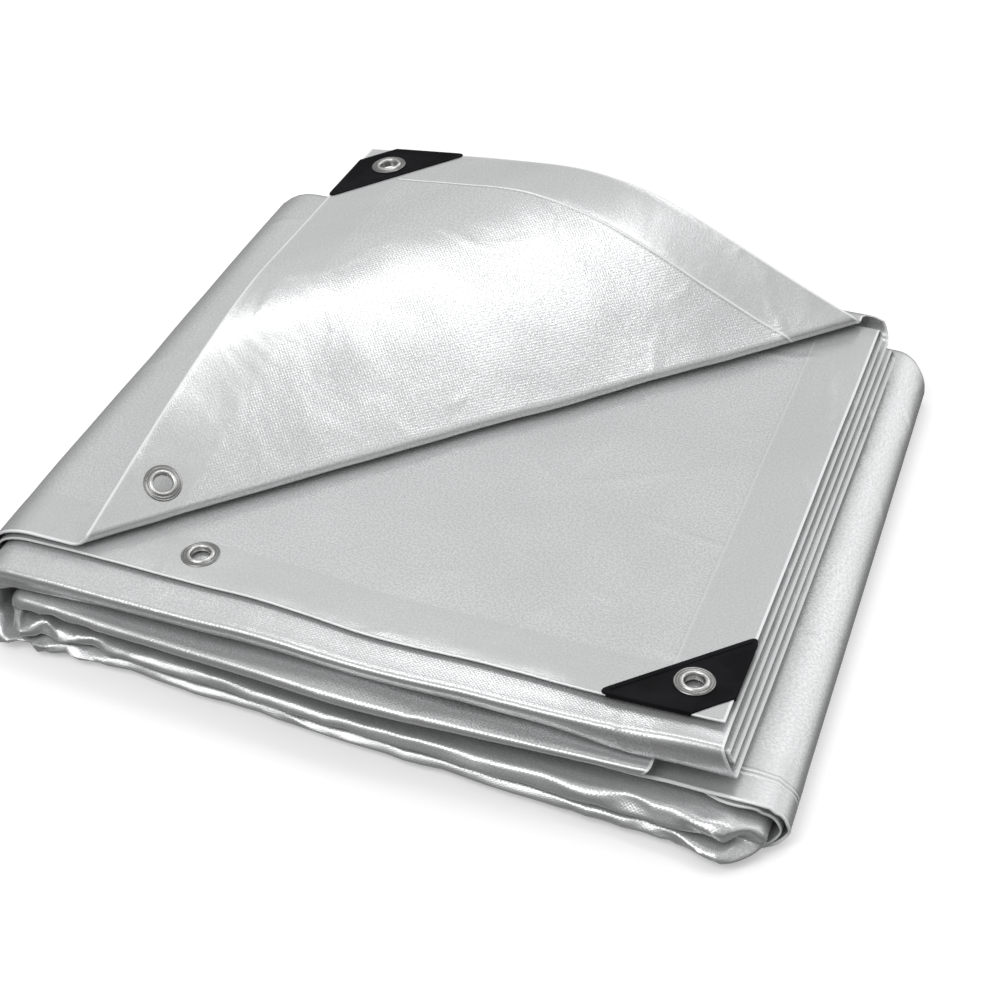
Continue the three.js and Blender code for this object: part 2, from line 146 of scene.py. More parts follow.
# The strip after its top run, from the outer fold inward: each fold is followed down or up.
ORDER = [
    {"kind": "fold", "name": "left", "down": True},
    {"kind": "run", "name": "bottom", "from": "left", "to": "right"},
    {"kind": "fold", "name": "right", "down": False},
    {"kind": "run", "name": "third", "from": "right", "to": "inner"},
    {"kind": "fold", "name": "inner", "down": False},
    {"kind": "run", "name": "second", "from": "inner", "to": None},
]
FOLD_TUCK = 12
RUN_STEP = 9.0
RUN_CROWD = 0.095
ROUNDED = 35.0
ROUNDED_PARTS = 9

# The corner that is turned back: it rolls over the crease, rises at an angle that eases until it is level,
# and is lifted further toward its back.
CREASE_START = np.array([-488.0, 22.0])
CREASE_END = np.array([-12.5, 495.5])
CREASE = CREASE_END - CREASE_START
CREASE_LENGTH = float(np.hypot(*CREASE))
CREASE_UNIT = CREASE / CREASE_LENGTH
CREASE_ROLL = 4.5
FLAP_EDGE = 496.0
FLAP_BACK = math.sqrt(CREASE_LENGTH**2 - FLAP_EDGE**2)
CREASE_SINE = FLAP_BACK / CREASE_LENGTH
FLAP_RISE = math.radians(35.5)
FLAP_EASED = math.radians(24.5)
FLAP_SLACK = 1.0065
FLAP_LEVEL = math.radians(1)
RISE_ENDS = 120.0
LEVEL_STARTS = 200.0
BACK_LIFT = 0.14
BACK_LIFT_FULL = 215.0
LIFT_EASES = 100.0
LIFT_EASE = 200.0
ROW_STEP = 6.0
ROLL_PARTS = 6
FLAP_PARTS = 58

# Pockets: each one's eyelet, and on which side of it the corner lies.
POCKETS = {
    "corner_pocket_lower": {"eyelet": "eyelet_lower_corner", "side": 1},
    "corner_pocket_upper": {"eyelet": "eyelet_upper_corner", "side": -1},
}
POCKET_OVER = 1.2
POCKET_TOP = 1.95
POCKET_RIM = 0.7
RIM_FACETS = 3
RIM_ANGLE = math.radians(80)
POCKET_BORDER = 2.6
POCKET_STEP = 0.5
POCKET_SUNK = 0.35
POCKET_SMOOTH = math.radians(35)
END_FACETS = 5
# A triangle drawn in a circle of radius 1: its height, and half its base.
TRIANGLE_HEIGHT = 1.5
TRIANGLE_HALF = math.sin(math.radians(120))

# Holes and eyelets. The cloth is level out to FLAT_STARTS and keeps its own form past FLAT_ENDS.
CLOTH_TOP = 0.85
HOLE_CUT = 9.5
HOLE_MARGIN = 1.0
HOLE_REACH = 3.0
HOLE_FACETS = 48
HOLE_DEPTH = 20.0
NEAR_CLOTH = 4.0
FLAT_STARTS = 16.0
FLAT_ENDS = 24.0
EYELET_OUTER = 14.0
# Rings of an eyelet, from its outer edge over the rolled top into the hole; height is above the cloth.
EYELET_RINGS = [
    {"radius": 14.0, "height": 0.0},
    {"radius": 14.2, "height": 0.35},
    {"radius": 13.7, "height": 0.75},
    {"radius": 13.1, "height": 0.5},
    {"radius": 12.6, "height": 0.5},
    {"radius": 12.1, "height": 0.95},
    {"radius": 11.5, "height": 1.0},
    {"radius": 11.0, "height": 0.65},
    {"radius": 10.4, "height": 0.7},
    {"radius": 9.9, "height": 1.4},
    {"radius": 9.3, "height": 1.8},
    {"radius": 8.5, "height": 1.9},
    {"radius": 7.7, "height": 1.5},
    {"radius": 7.2, "height": 0.7},
    {"radius": 7.0, "height": -0.4},
]
EYELET_BARREL = 8.6
EYELET_BACK = 11.0
EYELET_METAL = 0.6
EYELET_SMOOTH = math.radians(60)
CORNER_INSET = 29.0
EDGE_INSET = 28.0
LOWER_EYELET = 400.0
UPPER_EYELET = 419.0
NEAR = 5.0

# How the front of the stack settles. The fades say over which depths, heights or places it comes in.
FRONT_FADES = (30, 90)
TOP_RUN = (40, 52)
TOP_HALF = (49, 55)
TOP_ENDS = 20
FRONT_SLIM = 2.0
UNDERCUT = 9.0
UNDERCUT_FADES = (-120, -40)
SECOND_RUN = ((31, 33), (51, 53))
SECOND_RISE = [
    {"x": -518, "rise": 0},
    {"x": -440, "rise": 0},
    {"x": -350, "rise": 2},
    {"x": -250, "rise": 4.5},
    {"x": -150, "rise": 1},
    {"x": -60, "rise": 0},
]
SECOND_TILT = 5.0
SECOND_TILTS = (-28, -4)
SECOND_LEAST = 0.4
SECOND_BACK = -3.0
BAND_LAYERS = (2.2, 3)
BAND_ENDS = 3.5
BAND_DEPTHS = ((-19, 3), (40, 90))
BAND_RISE = 2.2
EDGE_DROOP = 0.7
EDGE_DROOPS = 10.0
EDGE_BACK = 1.3
DROOP_FADES = (-115, -85)
DROOP_FADE = 0.75

# Unevenness of the folded cloth. A wave is smooth, with a size and a height, and folds have facets.
WAVE_GAIN = 1.6
WAVE_SHIFT = (17.3, 5.1, 9.7)
FOLD_SHIFT = (3.7, 11.9, 7.3)
CORNER_FLAT = (100, 150)
LIFT_FADES = (4, 60)
LONG_WAVE = {"stretch": (1, 1, 0.2), "scale": 85, "seed": 1, "height": 0.9}
SHORT_WAVE = {"stretch": (1, 1, 0.2), "scale": 34, "seed": 2, "height": 0.3}
LONG_SWAY = {"stretch": (1, 0.3, 2.2), "scale": 60, "seed": 3, "height": 2.0}
SHORT_SWAY = {"stretch": (1, 0.3, 3), "scale": 22, "seed": 4, "height": 1.2}
TOP_SWAY = {"stretch": (1, 0.2, 1), "scale": 90, "seed": 5, "height": 1.3}
FRONT_FOLDS = {"stretch": (1, 0.5, 1.4), "scale": 27, "seed": 5}
RISING_FOLDS = {"stretch": (1, 0.6, 1), "scale": 22, "seed": 6}
FOLD_MIDDLE = 0.35
FOLD_ALL = 2.5
FOLD_ENDS = 22
FOLD_RISE = 9
FRONT_REACH = (-30, 60)
LOW_FRONT = (32, 46)
SET_BACK = 11.0
LOW_BACK = 4.0
UNDER_THIRD = 0.4
OVER_THIRD = 2
STRAIGHT_FADES = ((-530, -480), (-25, 15))
LEFT_CRUMPLES = (-540, -410)
RIGHT_CRUMPLES = ((-140, -20), (20, 40))
RIGHT_SHARE = 0.25
HIDDEN_SHARE = 0.25
HIDDEN_FROM = -300
FLOOR_FADES = (0.5, 8)
RISE_FADES = (2, 14)
TOP_FRONT = ((46, 60), (-10, 40), 92)

# The edge's lip is thicker close to the edge and thin at the very edge. The hem's step fades over HEM_FADE.
HEM_FADE = 1.0
CLOTH_SMOOTH = math.radians(50)
LIP_THICK = 0.5
LIP_THICKENS = (1.2, 3.5)
LIP_THIN = 1.1
LIP_THINS = (0, 1.3)


def spaced(start, end, parts, crowd):
    """Points from start to end, closer near the start, or near the end where crowd is negative."""
    share = np.linspace(0, 1, parts + 1)
    share = share**crowd if crowd > 0 else 1 - (1 - share) ** -crowd
    return start + (end - start) * share


def smooth(low, high, value):
    share = np.clip((value - low) / (high - low), 0, 1)
    return share * share * (3 - 2 * share)


def run_at(run, x):
    """Sizes of a run at x, with the rows joined by rounded lines."""
    rows = np.array(RUNS[run]["rows"], float)
    reach = np.linspace(-ROUNDED, ROUNDED, ROUNDED_PARTS)
    spots = np.clip(np.asarray(x, float)[..., None] + reach, rows[0, 0], rows[-1, 0])
    return {name: np.interp(spots, rows[:, 0], rows[:, i]).mean(-1) for i, name in enumerate(COLUMNS) if i}


def layer_height(layer):
    return np.where(layer <= TOP - 1, layer, TOP - 1 + TOP_PITCH * (layer - TOP + 1))


def height_in(run, at, layer):
    whole = layer_height(np.float64(TOP))
    rise = layer_height(layer) if RUNS[run]["upright"] else whole - layer_height(layer)
    return at["under"] + CLOTH / 2 + at["pitch"] * rise


def depth_in(at, depth):
    inside = at["front"] + (at["back"] - at["front"]) * np.clip(depth, 0, DEPTH) / DEPTH
    return inside + np.minimum(depth, 0) * at["reach"] + np.maximum(depth - DEPTH, 0)


def in_run(run, x, depth, layer):
    """Points of the strip in a run: x, depth and layer are arrays of one shape."""
    at = run_at(run, x)
    place = np.array(x, float)
    if run == "top":
        step = np.interp(layer, range(TOP + 1), END_STEPS)
        place = x + step * np.maximum(0, 1 + x / STEP_LENGTH)
    if run == "second":
        near_end = np.clip(1 + (x - INNER_END) / STEP_LENGTH, 0, 1)
        place = x - INNER_STEP * layer * near_end
    return np.stack([place, depth_in(at, depth), height_in(run, at, layer)], -1)


def in_fold(name, turn, depth, layer):
    fold = FOLDS[name] | FOLD_SHAPES[name]
    upper, lower = (run_at(fold[side], fold["x"]) for side in ("upper", "lower"))
    high = height_in(fold["upper"], upper, layer)
    low = height_in(fold["lower"], lower, layer)
    widest = low + (high - low) * fold["widest"]
    swing = np.cos(turn)
    bulge = fold["bulge"] * (1 - fold["taper"] * depth / DEPTH) * (high - low) / 2
    tuck = FOLD_TUCK * np.sin(turn) ** 2 * (1 - 2 * depth / DEPTH)
    ahead, behind = depth_in(upper, depth), depth_in(lower, depth)
    return np.stack(
        [
            fold["x"] + fold["side"] * bulge * np.sin(turn),
            ahead + (behind - ahead) * (1 - swing) / 2 + tuck,
            widest + swing * np.where(swing > 0, high - widest, widest - low),
        ],
        -1,
    )


def section_path():
    """Depths and layers along the section, from the free edge of the top sheet to that of the lower one."""
    depths, layers = [0.0], [float(TOP)]
    for i, stretch in enumerate(STRAIGHT):
        run = spaced(stretch["from"], stretch["to"], stretch["parts"], stretch["crowd"])
        depths += list(run)
        layers += [float(stretch["layer"])] * len(run)
        if i < len(TURNS):
            turn, after = TURNS[i], STRAIGHT[i + 1]
            angle = np.pi * np.arange(1, turn["parts"]) / turn["parts"]
            swing = np.sign(np.cos(angle)) * np.abs(np.cos(angle)) ** turn["square"]
            sway = turn["reach"] * np.sin(angle) ** turn["square"]
            depths += list(stretch["to"] + (after["from"] - stretch["to"]) * (1 - swing) / 2 + sway)
            layers += list(after["layer"] + (stretch["layer"] - after["layer"]) * (1 + swing) / 2)
    rim = [depths[-1] + step for step in RIM_STEPS[:-1]]
    depths[-1:] = rim[::-1] + [depths[-1]]
    layers += [layers[-1]] * len(rim)
    depths[:2] = [depths[1] + step for step in RIM_STEPS[::-1]]
    layers[:2] = [layers[1]] * len(RIM_STEPS)
    return np.array(depths), np.array(layers)


def top_station(x):
    """Place in the top run whose top sheet has its end at x."""
    end = END_STEPS[TOP]
    return np.where(x > -STEP_LENGTH, (x - end) / (1 + end / STEP_LENGTH), x)


def crease_height(x):
    at = run_at("top", top_station(np.clip(x, CREASE_START[0], CREASE_END[0])))
    return height_in("top", at, np.float64(TOP))


def flap_point(row, off):
    """Points of the flap: row is the distance from its left edge, off the distance from the crease."""
    row, off = np.broadcast_arrays(np.asarray(row, float), np.asarray(off, float))
    along = (row * CREASE_LENGTH + off * FLAP_EDGE) / FLAP_BACK
    off = off * FLAP_SLACK
    roll = CREASE_ROLL * (np.pi - FLAP_RISE)
    turned = np.minimum(off, roll) / CREASE_ROLL
    across = -CREASE_ROLL * np.sin(turned)
    rise = CREASE_ROLL * (1 - np.cos(turned))
    start = FLAP_RISE
    for end, low, high in ((FLAP_EASED, roll, RISE_ENDS), (FLAP_LEVEL, RISE_ENDS, LEVEL_STARTS)):
        slope = (end - start) / (high - low)
        angle = start + slope * (np.clip(off, low, high) - low)
        across = across + (np.sin(angle) - np.sin(start)) / slope
        rise = rise - (np.cos(angle) - np.cos(start)) / slope
        start = end
    level = np.maximum(off, LEVEL_STARTS) - LEVEL_STARTS
    across = across + level * np.cos(FLAP_LEVEL)
    rise = rise + level * np.sin(FLAP_LEVEL)
    eased = np.clip(row - LIFT_EASES, 0, LIFT_EASE)
    lift = BACK_LIFT * (np.minimum(row, LIFT_EASES) + eased - eased**2 / (2 * LIFT_EASE))
    rise = rise + lift * smooth(roll, BACK_LIFT_FULL, off)
    foot = CREASE_START + along[..., None] * CREASE_UNIT
    return np.stack(
        [
            foot[..., 0] - CREASE_UNIT[1] * across,
            foot[..., 1] + CREASE_UNIT[0] * across,
            crease_height(foot[..., 0]) + rise,
        ],
        -1,
    )


def lower_point(along, inward):
    """Point of the lower sheet's corner: along the front edge and inward from it."""
    end = END_STEPS[LOWER]
    x = end - along
    if x > -STEP_LENGTH:
        x = -along / (1 + end / STEP_LENGTH)
    return in_run("top", np.float64(x), np.float64(inward), np.float64(LOWER))


def upper_point(along, inward):
    off = (FLAP_EDGE * (1 - inward / FLAP_BACK) - along) * CREASE_SINE
    return flap_point(inward, off)


def frame_from(origin, ahead, aside):
    """Matrix of a flat place on the cloth, with Z out of its upper side."""
    x = Vector(ahead - origin).normalized()
    z = x.cross(Vector(aside - origin)).normalized()
    y = z.cross(x)
    turned = Matrix((x, y, z)).transposed().to_4x4()
    return Matrix.Translation(Vector(origin)) @ turned


# Each eyelet: the corner it is measured from, its place along the edge and inward, and what it lies on.
AT_CORNER = {"along": CORNER_INSET, "inward": CORNER_INSET, "top": POCKET_TOP}
EYELETS = {
    "eyelet_lower_corner": {"corner": "lower"} | AT_CORNER,
    "eyelet_lower_edge": {"corner": "lower", "along": LOWER_EYELET, "inward": EDGE_INSET, "top": CLOTH_TOP},
    "eyelet_upper_corner": {"corner": "upper"} | AT_CORNER,
    "eyelet_upper_edge": {"corner": "upper", "along": UPPER_EYELET, "inward": EDGE_INSET, "top": CLOTH_TOP},
}
# How a point by each corner is found, and whether an eyelet's X runs toward the corner (-1) or away (1).
CORNERS = {"lower": (lower_point, -1), "upper": (upper_point, 1)}


def eyelet_frame(name):
    """Place of an eyelet on the cloth as folded, before its unevenness."""
    eyelet = EYELETS[name]
    point, way = CORNERS[eyelet["corner"]]
    along, inward = eyelet["along"], eyelet["inward"]
    return frame_from(point(along, inward), point(along + way * NEAR, inward), point(along, inward + NEAR))


def into(place, points):
    """Points seen from a frame."""
    local = np.array(place.inverted())
    return points @ local[:3, :3].T + local[:3, 3]


def out_of(place, points):
    turned = np.array(place)
    return points @ turned[:3, :3].T + turned[:3, 3]


def middle_of(node):
    low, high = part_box(node)
    return (low + high) / 2


# Where the sheet's own corner lies in the frame: the corner eyelet is the same in both.
ORIGIN = middle_of("eyelet_lower_corner") - Vector(lower_point(CORNER_INSET, CORNER_INSET)) * MM
ORIGIN.z = 0


def wander(points, wave):
    """Smooth unevenness at each point, of the wave's size and height."""
    seed = wave["seed"]
    shift = Vector([seed * part for part in WAVE_SHIFT])
    places = points * wave["stretch"]
    rough = np.array([noise.noise(Vector(p) / wave["scale"] + shift) for p in places])
    return rough * WAVE_GAIN * wave["height"]


class Cloth:
    """Middle surface of the sheet: points, faces, the flat place of each point and the whole flat size.

    The place of a point is its layer and its depth in the folded strip.
    """

    def __init__(self):
        self.points = np.zeros((0, 3))
        self.flat = np.zeros((0, 2))
        self.place = np.zeros((0, 2))
        self.faces = []
        self.whole = (0.0, 0.0)

    def add(self, points, flat, layer, depth):
        """Takes in a grid of points and gives the numbers of its points."""
        first = len(self.points)
        place = np.stack(np.broadcast_arrays(layer, depth, points[..., 0])[:2], -1)
        self.place = np.concatenate([self.place, place.reshape(-1, 2)])
        self.points = np.concatenate([self.points, points.reshape(-1, 3)])
        self.flat = np.concatenate([self.flat, flat.reshape(-1, 2)])
        return first + np.arange(points.reshape(-1, 3).shape[0]).reshape(points.shape[:-1])

    def weave(self, grid):
        """Joins a grid of points by quads."""
        a, b, c, d = grid[:-1, :-1], grid[:-1, 1:], grid[1:, 1:], grid[1:, :-1]
        self.faces += np.stack([a, b, c, d], -1).reshape(-1, 4).tolist()


def run_stations(x_from, x_to):
    """Places along a run, closer together at its two ends."""
    count = max(2, round(abs(x_to - x_from) / RUN_STEP))
    share = np.linspace(0, 1, count + 1)
    share = share - RUN_CROWD * np.sin(2 * np.pi * share)
    return x_from + (x_to - x_from) * share


def strip_stations():
    """Stations after the crease's: whether each is in a run or a fold, its name, and its place or turn."""
    rows = []
    for part in ORDER:
        name = part["name"]
        if part["kind"] == "fold":
            turns = np.linspace(0, np.pi, FOLD_SHAPES[name]["parts"] + 1)
            rows += [("fold", name, turn) for turn in (turns if part["down"] else turns[::-1])]
            continue
        start = FOLDS[part["from"]]["x"]
        if part["to"]:
            places = run_stations(start, FOLDS[part["to"]]["x"])[1:-1]
        else:
            places = run_stations(start, INNER_END)[1:]
        rows += [("run", name, x) for x in places]
    return rows


def strip_point(station, depth, layer):
    kind, name, value = station
    if kind == "fold":
        return in_fold(name, value, depth, layer)
    return in_run(name, np.full_like(depth, value), depth, layer)


def flap_rows():
    count = round(FLAP_BACK / ROW_STEP)
    rows = np.linspace(0, FLAP_BACK, count + 1)
    return np.concatenate([RIM_STEPS[::-1], rows[1:]])


def lay_strip(cloth, rows):
    """The strip's grid, from the crease on. Returns the numbers of its points on the crease."""
    depth, layer = section_path()
    crease_x = CREASE_START[0] + CREASE[0] * rows / FLAP_BACK
    crease = [("run", "top", float(top_station(x))) for x in crease_x][::-1]
    stations = crease + strip_stations()
    points = np.array([strip_point(station, depth, layer) for station in stations])
    first = STRAIGHT[0]["parts"] + len(RIM_STEPS)
    for i in range(len(crease)):
        start = CREASE_START[1] + (points[i, 0, 0] - CREASE_START[0]) * CREASE[1] / CREASE[0]
        end = points[i, first - 1, 1]
        points[i, :first, 1] = start + (end - start) * np.linspace(0, 1, first)
    spans = np.linalg.norm(np.diff(points, axis=0), axis=-1).mean(1)
    lengths = np.concatenate([[0], np.cumsum(spans)])
    depths = np.linalg.norm(np.diff(points[len(crease)], axis=0), axis=-1)
    across = np.concatenate([[0], np.cumsum(depths)])
    flat = np.stack(np.broadcast_arrays(lengths[:, None], across[None, :]), -1).copy()
    for i in range(len(crease)):
        flat[i, :first, 1] = points[i, :first, 1] - points[i, first - 1, 1] + across[first - 1]
    grid = cloth.add(points, flat, layer, depth)
    cloth.weave(grid)
    cloth.whole = (float(lengths[-1]), float(across[-1]))
    return grid[: len(crease), 0]


def lay_flap(cloth, rows, crease):
    """The corner that is turned back, joined to the strip along the crease."""
    reach = FLAP_EDGE * (1 - rows / FLAP_BACK) * CREASE_SINE
    roll = np.minimum(CREASE_ROLL * (np.pi - FLAP_RISE), reach / 2)
    rolled = roll[:, None] * np.linspace(0, 1, ROLL_PARTS + 1)
    spread = roll[:, None] + (reach - roll)[:, None] * np.linspace(0, 1, FLAP_PARTS + 1)[1:-1]
    least = (reach - roll)[:, None] / FLAP_PARTS * RIM_SHARES
    lip = reach[:, None] - np.minimum(RIM_STEPS, least) * CREASE_SINE
    off = np.concatenate([rolled, spread, lip], 1)
    along = (reach[:, None] - off) / CREASE_SINE
    flat = np.stack(np.broadcast_arrays(along, rows[:, None]), -1)
    body = cloth.add(flap_point(rows[:, None], off)[:-1, 1:], flat[:-1, 1:], float(TOP), 0.0)
    joined = np.concatenate([crease[:0:-1, None], body], 1)
    cloth.weave(joined)
    cloth.faces += [[a, b, crease[0]] for a, b in zip(joined[-1, :-1], joined[-1, 1:])]


def lay_cloth():
    """The whole sheet: the folded strip and the flap beyond the crease."""
    cloth = Cloth()
    rows = flap_rows()
    lay_flap(cloth, rows, lay_strip(cloth, rows))
    return cloth


def corners_of(faces):
    """Faces as rows of four corners, with a triangle's last corner given twice."""
    return np.array([f if len(f) == 4 else [*f, f[-1]] for f in faces])


def normals_of(points, faces):
    quads = corners_of(faces)
    a, b, c, d = (points[quads[:, k]] for k in range(4))
    face = np.cross(c - a, d - b)
    flat = np.where(quads[:, 2:3] == quads[:, 3:4], np.cross(b - a, c - a), face)
    total = np.zeros_like(points)
    for k in range(4):
        np.add.at(total, quads[:, k], flat)
    size = np.linalg.norm(total, axis=1, keepdims=True)
    return total / np.maximum(size, 1e-9)


def crumple(points, folds):
    """Sharp-edged unevenness about 0, as of cloth pressed into facets."""
    seed = folds["seed"]
    shift = Vector([seed * part for part in FOLD_SHIFT])
    near = [noise.voronoi(Vector(p) / folds["scale"] + shift)[0] for p in points * folds["stretch"]]
    return np.clip([far - close for close, far, *_ in near], 0, 1) - FOLD_MIDDLE


def settle(points, layer, depth):
    """Shapes the fronts of the top run and the second, and brings the lower sheet's edge to the band."""
    x, y, z = points[:, 0], points[:, 1], points[:, 2]
    in_top = smooth(*TOP_RUN, z) * (x < TOP_ENDS)
    near_front = 1 - smooth(*FRONT_FADES, depth)
    lower_half = np.clip(1 - layer / 3, 0, 1) * smooth(*TOP_HALF, z) * near_front
    lower_half *= 1 - smooth(*UNDERCUT_FADES, x)
    z += lower_half * FRONT_SLIM
    y += lower_half * UNDERCUT
    comes, goes = SECOND_RUN
    in_second = smooth(*comes, z) * (1 - smooth(*goes, z)) * near_front
    places, rises = zip(*((row["x"], row["rise"]) for row in SECOND_RISE))
    rise = np.interp(x, places, rises)
    share = rise / max(rises)
    tilt = smooth(*SECOND_TILTS, depth) * SECOND_TILT * np.clip(share, SECOND_LEAST, 1)
    z += in_second * (rise + tilt)
    y += in_second * share * SECOND_BACK
    band = smooth(*BAND_LAYERS, layer) * (layer < BAND_ENDS)
    comes, goes = BAND_DEPTHS
    raised = band * smooth(*comes, depth) * (1 - smooth(*goes, depth)) * BAND_RISE
    edge = (np.abs(layer - LOWER) < 0.01) * (1 - smooth(0, EDGE_DROOPS, depth)) * EDGE_DROOP
    edge *= 1 - smooth(*DROOP_FADES, x) * DROOP_FADE
    z += (raised - edge) * in_top
    y += edge * in_top * EDGE_BACK


def ruffle(cloth, layer, depth):
    """Unevenness of the folded layers, the same for all layers at one place so that none meet."""
    p = cloth.points
    x, y, z = p[:, 0], p[:, 1], p[:, 2]
    settle(p, layer, depth)
    corner = np.hypot(cloth.flat[:, 0], np.minimum(cloth.flat[:, 1], cloth.whole[1] - cloth.flat[:, 1]))
    lift = smooth(*LIFT_FADES, z) * smooth(*CORNER_FLAT, corner)
    z += (wander(p, LONG_WAVE) + wander(p, SHORT_WAVE)) * lift
    front = 1 - smooth(*FRONT_REACH, y)
    comes, goes = STRAIGHT_FADES
    straight = smooth(*comes, x) * (1 - smooth(*goes, x))
    third = run_at("third", x)
    over = third["under"] - UNDER_THIRD
    top = third["under"] + third["pitch"] * layer_height(np.float64(TOP)) + OVER_THIRD
    share = np.where(z < over, z / over, (z - over) / (top - over)) * (z < top)
    y += (share * SET_BACK + LOW_BACK * (z < top)) * front * straight
    low_front = (1 - smooth(*LOW_FRONT, z)) * front
    comes, goes = RIGHT_CRUMPLES
    right = smooth(*comes, x) * (1 - smooth(*goes, x)) * RIGHT_SHARE
    ends = np.maximum(1 - smooth(*LEFT_CRUMPLES, x), right)
    ends *= np.where((x > HIDDEN_FROM) & (layer > BAND_ENDS), HIDDEN_SHARE, 1)
    sway = wander(p, LONG_SWAY) + wander(p, SHORT_SWAY)
    folds = crumple(p, FRONT_FOLDS) * (FOLD_ALL + FOLD_ENDS * ends)
    y += (sway + folds) * low_front * smooth(*FLOOR_FADES, z)
    z += crumple(p, RISING_FOLDS) * FOLD_RISE * ends * low_front * smooth(*RISE_FADES, z)
    from_height, to_back, to_height = TOP_FRONT
    top_front = smooth(*from_height, z) * (1 - smooth(*to_back, y)) * (z < to_height)
    y += wander(p, TOP_SWAY) * top_front


def press_flat(cloth):
    """Levels the cloth under each eyelet and returns the frames the eyelets are pressed into."""
    frames = {}
    for name in EYELETS:
        place = eyelet_frame(name)
        local = into(place, cloth.points)
        away = np.hypot(local[:, 0], local[:, 1])
        near = (away < FLAT_ENDS) & (np.abs(local[:, 2]) < NEAR_CLOTH)
        spread = np.stack([np.ones(near.sum()), local[near, 0], local[near, 1]], 1)
        level, ahead, aside = np.linalg.lstsq(spread, local[near, 2], rcond=None)[0]
        plane = spread @ (level, ahead, aside)
        share = 1 - smooth(FLAT_STARTS, FLAT_ENDS, away[near])
        local[near, 2] += (plane - local[near, 2]) * share
        cloth.points[near] = out_of(place, local[near])
        spots = np.array([(0, 0, level), (1, 0, level + ahead), (0, 1, level + aside)])
        frames[name] = frame_from(*(Vector(spot) for spot in out_of(place, spots)))
    return frames


def cut_holes(cloth, frames):
    """Takes the faces out under each eyelet and draws the cut's edge to a circle."""
    quads = corners_of(cloth.faces)
    middle = cloth.points[quads].mean(1)
    gone = np.zeros(len(quads), bool)
    for place in frames.values():
        at = into(place, middle)
        hit = (np.hypot(at[:, 0], at[:, 1]) < HOLE_CUT + HOLE_MARGIN) & (np.abs(at[:, 2]) < HOLE_REACH)
        gone |= hit
        edge = np.intersect1d(np.unique(quads[hit]), np.unique(quads[~gone]))
        near = into(place, cloth.points[edge])
        ratio = HOLE_CUT / np.maximum(np.hypot(near[:, 0], near[:, 1]), 1e-6)
        near[:, :2] *= ratio[:, None]
        near[:, 2] = 0
        cloth.points[edge] = out_of(place, near)
    cloth.faces = [f for f, lost in zip(cloth.faces, gone) if not lost]


def rim_distance(flat, whole):
    """How far a flat place is from the sheet's nearest edge."""
    from_edge = np.minimum(flat[:, 1], whole[1] - flat[:, 1])
    from_end = np.minimum(flat[:, 0], whole[0] - flat[:, 0])
    return np.minimum(from_edge, from_end)


def hem_share(flat, whole):
    """1 on the doubled hems, 0 on the single cloth."""
    return 1 - smooth(HEM - HEM_FADE, HEM + HEM_FADE, rim_distance(flat, whole))


def thicken(cloth, thickness, name):
    """Closed mesh of the cloth with its flat map."""
    normals = normals_of(cloth.points, cloth.faces)
    half = thickness[:, None] / 2
    upper, under = cloth.points + normals * half, cloth.points - normals * half
    count = len(cloth.points)
    faces = [list(f) for f in cloth.faces] + [[i + count for i in reversed(f)] for f in cloth.faces]
    directed = {(f[k], f[(k + 1) % len(f)]) for f in cloth.faces for k in range(len(f))}
    rim = [(a, b) for a, b in directed if (b, a) not in directed]
    faces += [[b, a, a + count, b + count] for a, b in sorted(rim)]
    points = np.concatenate([upper, under])
    points[:, 2] = np.maximum(points[:, 2], 0)
    mesh = bpy.data.meshes.new(name)
    places = points * MM + np.array(ORIGIN)
    mesh.from_pydata(places.tolist(), [], faces)
    layer = mesh.uv_layers.new(name="cloth")
    flat = np.concatenate([cloth.flat, cloth.flat]) * MM
    index = np.zeros(len(mesh.loops), int)
    mesh.loops.foreach_get("vertex_index", index)
    layer.data.foreach_set("uv", flat[index].ravel())
    mesh.validate()
    return mesh


def deselect():
    for item in bpy.context.selected_objects:
        item.select_set(False)


def new_object(name, mesh):
    piece = bpy.data.objects.new(name, mesh)
    bpy.context.scene.collection.objects.link(piece)
    deselect()
    piece.select_set(True)
    bpy.context.view_layer.objects.active = piece
    return piece


# Nodes and materials


class Value:
    """A socket whose sums are written as Python expressions."""

    def __init__(self, tree, socket):
        self.tree = tree
        self.socket = socket

    def _math(self, kind, *values):
        return add_node(self.tree, "ShaderNodeMath", {"operation": kind}, dict(enumerate(values)))

    def __add__(self, other):
        return self._math("ADD", self, other)

    def __radd__(self, other):
        return self._math("ADD", other, self)

    def __sub__(self, other):
        return self._math("SUBTRACT", self, other)

    def __rsub__(self, other):
        return self._math("SUBTRACT", other, self)

    def __mul__(self, other):
        return self._math("MULTIPLY", self, other)

    def __rmul__(self, other):
        return self._math("MULTIPLY", other, self)

    def low(self, other):
        return self._math("MINIMUM", self, other)

    def high(self, other):
        return self._math("MAXIMUM", self, other)

    def size(self):
        return self._math("ABSOLUTE", self)

    def sine(self):
        return self._math("SINE", self)

    def between(self, low, high):
        return add_node(
            self.tree,
            "ShaderNodeMapRange",
            {"interpolation_type": "SMOOTHSTEP"},
            {"Value": self, "From Min": low, "From Max": high, "To Min": 0.0, "To Max": 1.0},
        )


def fill(tree, node, inputs):
    """Sets the values or links of a node's sockets."""
    for name, value in inputs.items():
        if isinstance(value, Value):
            tree.links.new(value.socket, node.inputs[name])
        else:
            node.inputs[name].default_value = value


def add_node(tree, kind, settings=None, inputs=None, output=0):
    """One node: its settings first, then the values or links of its sockets."""
    node = tree.nodes.new(kind)
    for name, value in (settings or {}).items():
        setattr(node, name, value)
    fill(tree, node, inputs or {})
    return Value(tree, node.outputs[output])


def new_material(name):
    material = bpy.data.materials.new(name)
    material.use_nodes = True
    tree = material.node_tree
    shader = next(n for n in tree.nodes if n.type == "BSDF_PRINCIPLED")
    return material, tree, shader


